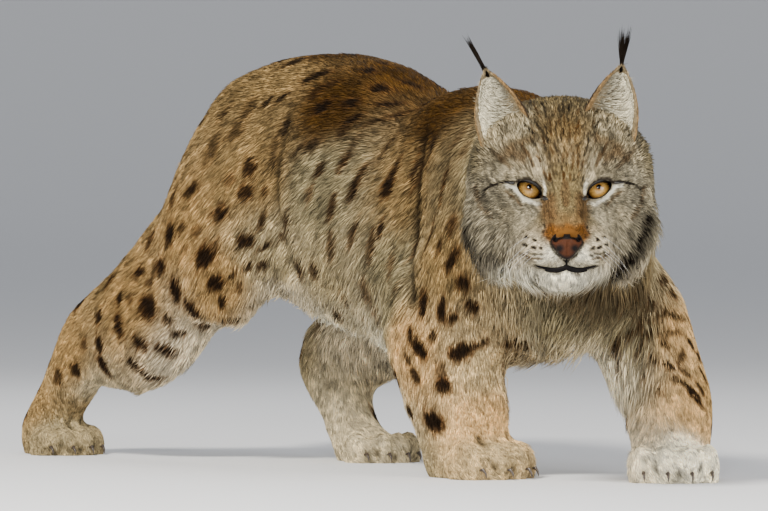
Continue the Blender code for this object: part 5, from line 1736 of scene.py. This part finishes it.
# x, z and size of each dent
NOSTRIL = ((0.0058, 0.0080, 0.0026), (0.0088, 0.0070, 0.0034), (0.0118, 0.0040, 0.0026))
NOSE_PLACE, NOSE_TILT = (0, -0.0726, -0.0568), math.radians(-14)
nose = ball("nose", (0, 0, 0), (1, 1, 1), (90, 0, 0), 112)
rows = unit(positions(nose))
x, y, z = rows[:, 0], rows[:, 1], rows[:, 2]
narrow = np.where(z > 0, 1 - 0.22 * z**2, 1 - 0.72 * np.abs(z) ** 0.9)
square = (np.abs(x) ** 3 + np.abs(z) ** 3) ** (1 / 3)
square = np.where(square > 1e-6, np.hypot(x, z) / np.maximum(square, 1e-6), 1)
nx = x * NOSE_HALF * narrow * square
nz = np.where(z > 0, z * NOSE_ABOVE, z * NOSE_BELOW) * square
nz = nz - 0.0014 * np.exp(-((nx / 0.004) ** 2)) * (z > 0) * z
ny = y * NOSE_DEEP
nostril = np.zeros(len(rows))
for side in (-1, 1):
    for cx, cz, size in NOSTRIL:
        gap = np.hypot(nx - side * cx, nz - cz)
        nostril = np.maximum(nostril, np.exp(-((gap / size) ** 4)))
groove = np.exp(-((nx / 0.0010) ** 2)) * (z < 0.1)
ny = ny + np.where(y < 0, 0.0050 * nostril + 0.0009 * groove, 0)
pose = Matrix.Translation(NOSE_PLACE) @ Matrix.Rotation(NOSE_TILT, 4, "X")
move_to(nose, placed(HEAD, placed(pose, np.column_stack([nx, ny, nz]))))
# The nostrils are painted near black, as painted shade in their openings. Dark too are the outer
# edge, the lower corners and a band along the top
corner = np.hypot((np.abs(nx) - 0.0082) / 0.0042, (nz + 0.0058) / 0.0036)
tint = np.maximum(nostril * 1.4, np.clip((np.hypot(x, z) - 0.80) / 0.15, 0, 1) * 0.95)
tint = np.maximum(tint, np.clip(1.5 - corner, 0, 1))
tint = np.maximum(tint, np.clip((nz - 0.0028) / 0.0016, 0, 1))
colour_attribute(nose, "ground", with_alpha(np.column_stack([np.clip(tint, 0, 1)] * 3)))
tell(nose)

# %% [markdown]
# The leather is pebbled with tiny cells and uneven in tone. Real bumps of that size would cost a
# hundred thousand faces, so the cells are a bump in the finish only, read in the piece's own
# Object coordinates.

# %% Nose leather
BRICK, NEARLY_BLACK = (0.066, 0.020, 0.007, 1), (0.003, 0.002, 0.002, 1)
PEBBLES, PEBBLE_DEPTH = 1200, 0.0005


def leather(name, light, dark, scale, depth, roughness):
    """Bare skin: two tones by the piece's own attribute, with a pebbled surface."""
    made, tree, shader = finish_material(name, roughness)
    cells = tree.nodes.new("ShaderNodeTexVoronoi")
    cells.inputs["Scale"].default_value = scale
    place = tree.nodes.new("ShaderNodeTexCoord")
    tree.links.new(place.outputs["Object"], cells.inputs["Vector"])
    noise = tree.nodes.new("ShaderNodeTexNoise")
    noise.inputs["Scale"].default_value = scale * 0.3
    tree.links.new(place.outputs["Object"], noise.inputs["Vector"])
    shader.inputs["Specular IOR Level"].default_value = 0.10
    mixed = blend_node(tree, noise.outputs["Fac"], light, tuple(v * 0.5 for v in light[:3]) + (1,))
    mixed = blend_node(tree, attribute(tree, "ground").outputs["Fac"], mixed, dark)
    tree.links.new(mixed, shader.inputs["Base Color"])
    raised = tree.nodes.new("ShaderNodeBump")
    raised.inputs["Distance"].default_value = depth
    tree.links.new(cells.outputs["Distance"], raised.inputs["Height"])
    tree.links.new(raised.outputs["Normal"], shader.inputs["Normal"])
    return made


nose_finish = leather("nose leather", BRICK, NEARLY_BLACK, PEBBLES, PEBBLE_DEPTH, 0.42)
nose.data.materials.append(nose_finish)
smooth(nose)
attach(nose, "root")

# %% [markdown]
# The shut mouth of a lynx shows as a black line that rises in the middle to meet the groove under
# the nose, and at its ends. The lips could be cut into the face, but fur would grow over the cut.
# So they are swept on the face where a ray from the front meets it, thickest in the middle.

# %% Lips
# Half of the line of the mouth, x and z in millimetres
MOUTH = ((0, -80.0), (4, -81.6), (10, -82.8), (16, -82.6), (21, -81.4), (26, -80.0), (31, -78.6))
LOWER_LIP = 0.0011
line = eased([(-x, z) for x, z in MOUTH[:0:-1]] + list(MOUTH), 5) / 1000
on_lips = [np.array(on_face(x, z, 0.0006)) for x, z in line]
share = 1 - np.abs(np.linspace(-1, 1, len(line)))
lips = [swept("lips", on_lips, 0.0005 + 0.0019 * np.clip(share * 1.5, 0, 1))]
below = [p + (0, 0, -0.0022) for p in on_lips[9:-9]]
lips.append(swept("lower lip", below, [0.0004, *[LOWER_LIP] * (len(below) - 2), 0.0004]))
groove_line = [np.array(on_face(0, z, 0.0003)) for z in (-0.071, -0.074, -0.077, -0.080)]
lips.append(swept("groove", groove_line, (0.0009, 0.0011, 0.0012, 0.0018)))
lips = joined("lips", lips)
lips.data.transform(HEAD)
lip_finish, _, lip_shader = finish_material("lip", 0.6, (0.004, 0.003, 0.003, 1))
lip_shader.inputs["Specular IOR Level"].default_value = 0.08
lips.data.materials.append(lip_finish)
smooth(lips)
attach(lips, "root")
tell(lips)

# %% [markdown]
# A lynx's whiskers are long white bristles that grow from the dark dots of the pads. In this
# stride they lie back along the cheeks. Tufts of the coat are too short and soft for them, so
# each is a swept line of its own, bent back and down and drawn out to a point.

# %% Whiskers
WHISKER = 0.00015
# x and z of the roots in millimetres
WHISKER_ROOTS = ((40, -49), (27, -61), (35, -60), (42, -58), (33, -67), (40, -65))
whiskers = []
for side in (-1, 1):
    for k, (x, z) in enumerate(WHISKER_ROOTS):
        start = np.array(on_face(side * x / 1000, z / 1000, -0.0005))
        aim = unit(np.array([side * (0.60 + 0.1 * (k % 3)), 0.26 + 0.05 * (k % 4), -0.30 - 0.06 * k]))
        reach = 0.028 + 0.005 * (k * 5 % 4)
        t = np.linspace(0, 1, 9)[:, None]
        path = start + aim * reach * t + np.array([0, 0.35, -0.45]) * reach * t**2 * 0.5
        whiskers.append(swept("whisker", path, WHISKER * (1 - t[:, 0] * 0.85), 6))
whiskers = joined("whiskers", whiskers)
whiskers.data.transform(HEAD)
whisker_finish, _, _ = finish_material("whisker", 0.4, (0.75, 0.73, 0.68, 1))
whiskers.data.materials.append(whisker_finish)
smooth(whiskers)
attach(whiskers, "root")
tell(whiskers)

# %% [markdown]
# A walking cat keeps its claws drawn in, so only dark tips show between the hairs of the toes.
# Claws painted on would have no hook, and whole ones would never be seen. So only the hooked
# tip is swept, once for each toe, at the toe's own front.

# %% Claws
# The hook's line from the toe's front, and its radii
CLAW = ((0, 0.004, 0.018), (0, -0.005, 0.019), (0, -0.009, 0.015), (0, -0.010, 0.010))
CLAW_RADII = (0.0018, 0.0020, 0.0013, 0.0003)
claws = []
for place, long, wide, high in paw_places:
    for across, ahead in TOES:
        path = np.array(CLAW) + (wide * across, -long * (ahead + 0.190), 0)
        claws.append(swept("claw", placed(place, path), CLAW_RADII, 8))
claws = joined("claws", claws)
claw_finish, _, _ = finish_material("claw", 0.3, (0.060, 0.045, 0.035, 1))
claws.data.materials.append(claw_finish)
smooth(claws)
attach(claws, "root")
tell(claws)

# %% [markdown]
# The ears are tall cupped triangles of thin gristle. A flat triangle with a thickness could be
# bent, but the cup gets shallower towards the tip. So each is a shell built ring by ring from
# the base, every ring a crescent with an outer and an inner wall, closed at the tip.

# %% Ear shells
EAR_HEIGHT, EAR_HALF, EAR_WALL = 0.088, 0.0340, 0.0030
EAR_ARC = math.radians(80)
# How far the base lies under the ear's own origin, and how far the tip stands outwards
EAR_FOOT, TIP_OUT = 0.010, 0.004


def ear_section(s):
    """Half width and cup depth of the ear at a share of its height."""
    return EAR_HALF * (1 - s**2.4) * (1 - 0.12 * (1 - s) ** 2), 0.026 * (1 - s) ** 0.8 + 0.003


def in_ear(side, s, bend, forward):
    """A point of the cup, at a bend round it, brought forward out of its wall."""
    half, cup = ear_section(s)
    across = half * np.sin(bend) / math.sin(EAR_ARC) + side * TIP_OUT * s
    out = cup * (np.cos(bend) - math.cos(EAR_ARC)) - forward
    return np.column_stack([across, out, EAR_HEIGHT * s - EAR_FOOT])


def ear_shell(side, rows=36, columns=25):
    points, faces = [], []
    bend = EAR_ARC * (2 * np.arange(columns) / (columns - 1) - 1)
    for i in range(rows):
        s = np.full(columns, i / rows)
        outer = in_ear(side, s, bend, 0)
        wall = EAR_WALL * (1 - 0.5 * s[0])
        inner = in_ear(side, s, bend, wall)[1:-1]
        middle_line = side * TIP_OUT * s[0]
        inner[:, 0] -= (inner[:, 0] - middle_line) * wall / max(ear_section(s[0])[0], 0.002)
        points += [*outer, *inner[::-1]]
    count = 2 * columns - 2
    tip = len(points)
    points.append((side * TIP_OUT, 0.002, EAR_HEIGHT - EAR_FOOT))
    for i in range(rows - 1):
        for k in range(count):
            n = (k + 1) % count
            faces.append((i * count + k, i * count + n, (i + 1) * count + n, (i + 1) * count + k))
    faces += [((rows - 1) * count + k, (rows - 1) * count + (k + 1) % count, tip) for k in range(count)]
    faces.append(tuple(range(count)))
    return facing_out(mesh_object("ear", points, faces))


# %% [markdown]
# Seen from behind, a lynx's ear is black with a pale spot. In front it has a tan rim, and its cup is
# buff darkened by painted shade in its depth. Short hair covers both sides and grows towards the tip.
# It is strewn like the body's, and its colour is worked out from the place on the ear, since the
# guides don't reach here.

# %% Ear coats
EAR_COVER, SHORT_INSIDE, SHORT_OUTSIDE = 900000.0, 0.0045, 0.0065
# The cup's buff, darkened by painted shade, and the tan of its rim
CUP_BUFF_AND_SHADE, TAN = np.array((0.190, 0.150, 0.090)), np.array((0.195, 0.125, 0.058))
EDGE, BACK = np.array((0.020, 0.014, 0.010)), np.array((0.020, 0.015, 0.011))
BACK_SPOT = np.array((0.26, 0.23, 0.17))


def ear_colours(side, p, n):
    """Ground, black and rusty of an ear's points, from their places and normals."""
    height = np.clip((p[:, 2] + EAR_FOOT) / EAR_HEIGHT, 0, 1)
    half = ear_section(height)[0] + 0.001
    outward = np.abs(p[:, 0] - side * TIP_OUT * height) / half
    cup = (n[:, 1] < -0.10)[:, None]
    inward = p[:, 0] * side < 0
    rim = np.clip((outward - np.where(inward, 0.66, 0.86)) / 0.10, 0, 1)[:, None]
    # Painted shade deep in the cup, tan towards the rim
    inside = CUP_BUFF_AND_SHADE + (TAN - CUP_BUFF_AND_SHADE) * rim
    spot = np.clip(1.2 - 3.0 * np.abs(height - 0.42) - outward, 0, 1)[:, None]
    inner = np.clip((outward * inward - 0.88) / 0.05, 0, 1)[:, None]
    inside = inside + (EDGE - inside) * inner
    back = BACK + spot * BACK_SPOT
    return np.where(cup, inside, back), np.clip((height - 0.95) / 0.05, 0, 1), np.zeros(len(p))


def grow_on_ear(piece, pose, root, normal, uv, look, **ways):
    """A coat piece grown from roots and ways in the ear's own frame."""
    turned = np.array(pose)[:3, :3].T
    roots = (placed(pose, root), normal @ turned, uv)
    tell(grow(piece, roots, (look[0] @ turned, *look[1:]), **ways))


def ear_coat(side, name, pose, shell):
    own = positions(shell)
    density = np.full(len(own), EAR_COVER)
    density[own[:, 2] < -0.006] = 0
    (root, normal, uv), _ = strewn(shell, density)
    upward = np.tile((0.0, 0.0, 1.0), (len(root), 1))
    upward[:, 0] = -0.30 * root[:, 0] / EAR_HALF
    total = len(root)
    short = np.where(normal[:, 1] < -0.10, SHORT_INSIDE, SHORT_OUTSIDE)
    colours = ear_colours(side, root, normal)
    look = (laid(upward, normal), short, np.full(total, 0.0008), np.full(total, 0.22), *colours)
    grow_on_ear(f"ear_coat_{name}", pose, root, normal, uv, look, locks=(8, 0.1))
    return uv


# %% [markdown]
# Long white hair grows from the inner edge of each ear and lies outwards across the cup. Strewn
# roots would fill the cup with a brush, so these start at a chosen bend and height, most near the
# inner edge, and each is only as long as the room that is left before the outer rim.

# %% Ear hair
EAR_HAIRS = 4200


def ear_hair(side, name, pose, uv):
    count = EAR_HAIRS
    s = luck.uniform(0.0, 0.86, count)
    reach = luck.uniform(0, 1, count) ** 0.8
    across = 0.72 - 1.48 * reach
    bend = -side * EAR_ARC * across
    normal = np.column_stack([-np.sin(bend), -np.cos(bend), np.zeros(count)])
    root = in_ear(side, s, bend, 0.0034)
    root[:, 0] += normal[:, 0] * 0.0026
    sweep = np.column_stack([side * (1 - 0.9 * reach), -0.3 * reach, 0.9 * s - 0.35 + 0.9 * reach**2])
    sweep[:, 2] += luck.normal(0, 0.12, count)
    half = ear_section(s)[0]
    room = (across + 0.88) * EAR_ARC * half
    length = np.clip(np.minimum(room, half * 1.15), 0.0025, 0.032) * luck.uniform(0.6, 1.0, count)
    white = np.array(COLOURS["white"]) * luck.uniform(0.55, 1.15, (count, 1)) * (1, 0.98, 0.92)
    white *= (0.62 + 0.38 * np.clip(reach / 0.30, 0, 1))[:, None]
    dark = (luck.uniform(size=count) < 0.10) * 0.8
    shape = (laid(sweep, normal), length, np.full(count, 0.0007), np.full(count, 0.20))
    look = (*shape, white, dark, np.zeros(count))
    ways = {"locks": (14, 0.45), "loose": 0.07, "contrast": 0.7}
    grow_on_ear(f"ear_hair_{name}", pose, root, normal, uv[:count], look, **ways)


# %% [markdown]
# The pencil of stiff black hair at the tip of each ear is the lynx's own mark. A cone would do
# from far off, but its edge must be hairy. So hairs of many lengths start close together just
# under the tip, fan out a little and are drawn towards one point.

# %% Ear pencils
PENCIL_HAIRS, PENCIL = 760, 0.042


def ear_pencil(side, name, pose, uv, pencil_lean):
    count = PENCIL_HAIRS
    turns, off = luck.uniform(0, 2 * math.pi, count), np.sqrt(luck.uniform(0, 1, count))
    down = luck.uniform(0.0, 0.009, count)
    top = np.array((side * TIP_OUT, 0.002, EAR_HEIGHT - 0.011))
    spread = 0.0016 + down * 0.20
    root = top + np.column_stack([np.cos(turns) * off * spread, np.sin(turns) * off * 0.0012, -down])
    fan = luck.normal(0, 0.018, count) - (root - top)[:, 0] * 22
    way = unit(np.column_stack([pencil_lean + fan, luck.normal(0.08, 0.03, count), np.ones(count)]))
    normal = laid(np.column_stack([np.cos(turns), np.sin(turns), np.zeros(count)]), way)
    length = (PENCIL + down) * (0.22 + 0.78 * luck.uniform(0, 1, count) ** 1.3)
    ones = np.ones(count)
    shape = (way, length, ones * 0.0008, ones * 0.01)
    look = (*shape, ones[:, None] * COLOURS["black"], ones, ones * 0)
    ways = {"locks": (PENCIL_HAIRS, 0.15), "loose": 0.02}
    grow_on_ear(f"ear_tuft_{name}", pose, root, normal, uv[:count], look, **ways)


# %% [markdown]
# A cat turns each ear by itself. Here both face forwards, the right one turned out more. Mirroring
# one ear would lose that, so both are made by the same steps, each with a pose of its own, and
# then moved to the head with the place in their meshes.

# %% Ears
EAR_TIP_BACK = math.radians(6)
# Side, name, place in the head, lean outwards, turn outwards, the pencil's own lean
EARS = (
    (-1, "right", (-0.0575, 0.022, 0.054), 14, 20, -0.30),
    (1, "left", (0.046, 0.018, 0.057), 9, 5, -0.06),
)
for side, name, place, lean, splay, pencil_lean in EARS:
    pose = HEAD @ Matrix.Translation(place)
    pose = pose @ Matrix.Rotation(side * math.radians(splay), 4, "Z")
    pose = pose @ Matrix.Rotation(side * math.radians(lean), 4, "Y")
    pose = pose @ Matrix.Rotation(EAR_TIP_BACK, 4, "X")
    shell = ear_shell(side)
    unwrap(shell)
    uv = ear_coat(side, name, pose, shell)
    ear_hair(side, name, pose, uv)
    ear_pencil(side, name, pose, uv, pencil_lean)
    # The shell counts as hair half way up, so it gets part of the painted root shade
    paint(shell, *ear_colours(side, positions(shell), vertex_normals(shell)), 0.5, 0.5)
    shell.data.transform(pose)
    shell.name = f"ear_shell_{name}"
    shell.data.materials.append(skin_finish)
    smooth(shell)
    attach(shell, "root")
    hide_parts(f"ear_{name}")
    tell(shell)

# %% [markdown]
# A studio's background is a pale sheet that runs over the floor and sweeps up far behind. Two
# planes would show the line where they meet. So one sheet follows a bent line and is rounded by
# subdivision. It is stage, no part of the animal.

# %% Floor
FLOOR_HALF = 24
# Metres behind the animal and height of the sheet's line
SWEEP = ((-18, 0), (13.0, 0), (15.2, 0.2), (16.6, 1.0), (17.3, 2.4), (17.5, 4.5), (17.5, 12.0))
floor_points = []
for y, z in SWEEP:
    for x in (-FLOOR_HALF, FLOOR_HALF):
        spot = across_view * x + into_view * y
        floor_points.append((spot.x, spot.y, z))
faces = [(2 * i, 2 * i + 1, 2 * i + 3, 2 * i + 2) for i in range(len(SWEEP) - 1)]
floor = mesh_object("studio_floor", floor_points, faces)
bend = floor.modifiers.new("Round", "SUBSURF")
bend.levels = bend.render_levels = 3
apply_all(floor)
smooth(floor)
floor_finish, _, _ = finish_material("pale floor", 0.8, (0.76, 0.77, 0.79, 1))
floor.data.materials.append(floor_finish)
floor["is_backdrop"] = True
print("floor", len(floor.data.polygons), "faces")

# %% [markdown]
# The photograph's light is soft and even. One large lamp from the upper left models the form, a
# broader one fills the shadows, a weak one behind lifts the back's edge, and a small one in front
# puts the glint into the eyes. Each is turned to the middle of the animal.

# %% Light
LAMPS_AIM = Vector((0, 0, 0.22))


def lamp(name, across, back, height, size, power, tint=(1, 1, 1)):
    data = bpy.data.lights.new(name, "AREA")
    data.size = size
    data.energy = power
    data.color = tint
    made = bpy.data.objects.new(name, data)
    made.location = across_view * across + into_view * back + Vector((0, 0, height))
    made.rotation_euler = (LAMPS_AIM - made.location).to_track_quat("-Z", "Y").to_euler()
    bpy.context.scene.collection.objects.link(made)
    print("lamp", name, power, "W")


lamp("key", -1.4, -2.6, 2.9, 0.8, 245, (1.0, 0.95, 0.86))
lamp("fill", 2.2, -2.8, 1.2, 2.2, 105, (1.0, 0.97, 0.92))
lamp("rim", -0.6, 2.2, 2.2, 1.4, 16)
lamp("spark", -0.02, -3.2, 1.40, 0.40, 34)
world = bpy.data.worlds.new("studio")
world.use_nodes = True
world.node_tree.nodes["Background"].inputs["Color"].default_value = (0.86, 0.88, 0.92, 1)
world.node_tree.nodes["Background"].inputs["Strength"].default_value = 0.55
bpy.context.scene.world = world

# %% [markdown]
# The solids' box and the model's box are both worked out and printed. The model may pass
# the solids' box only by a few hairs.

# %% Sizes
size = {"cad": [list(c) for c in cad_box], "visual": [list(c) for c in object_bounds()]}
print("sizes", size)
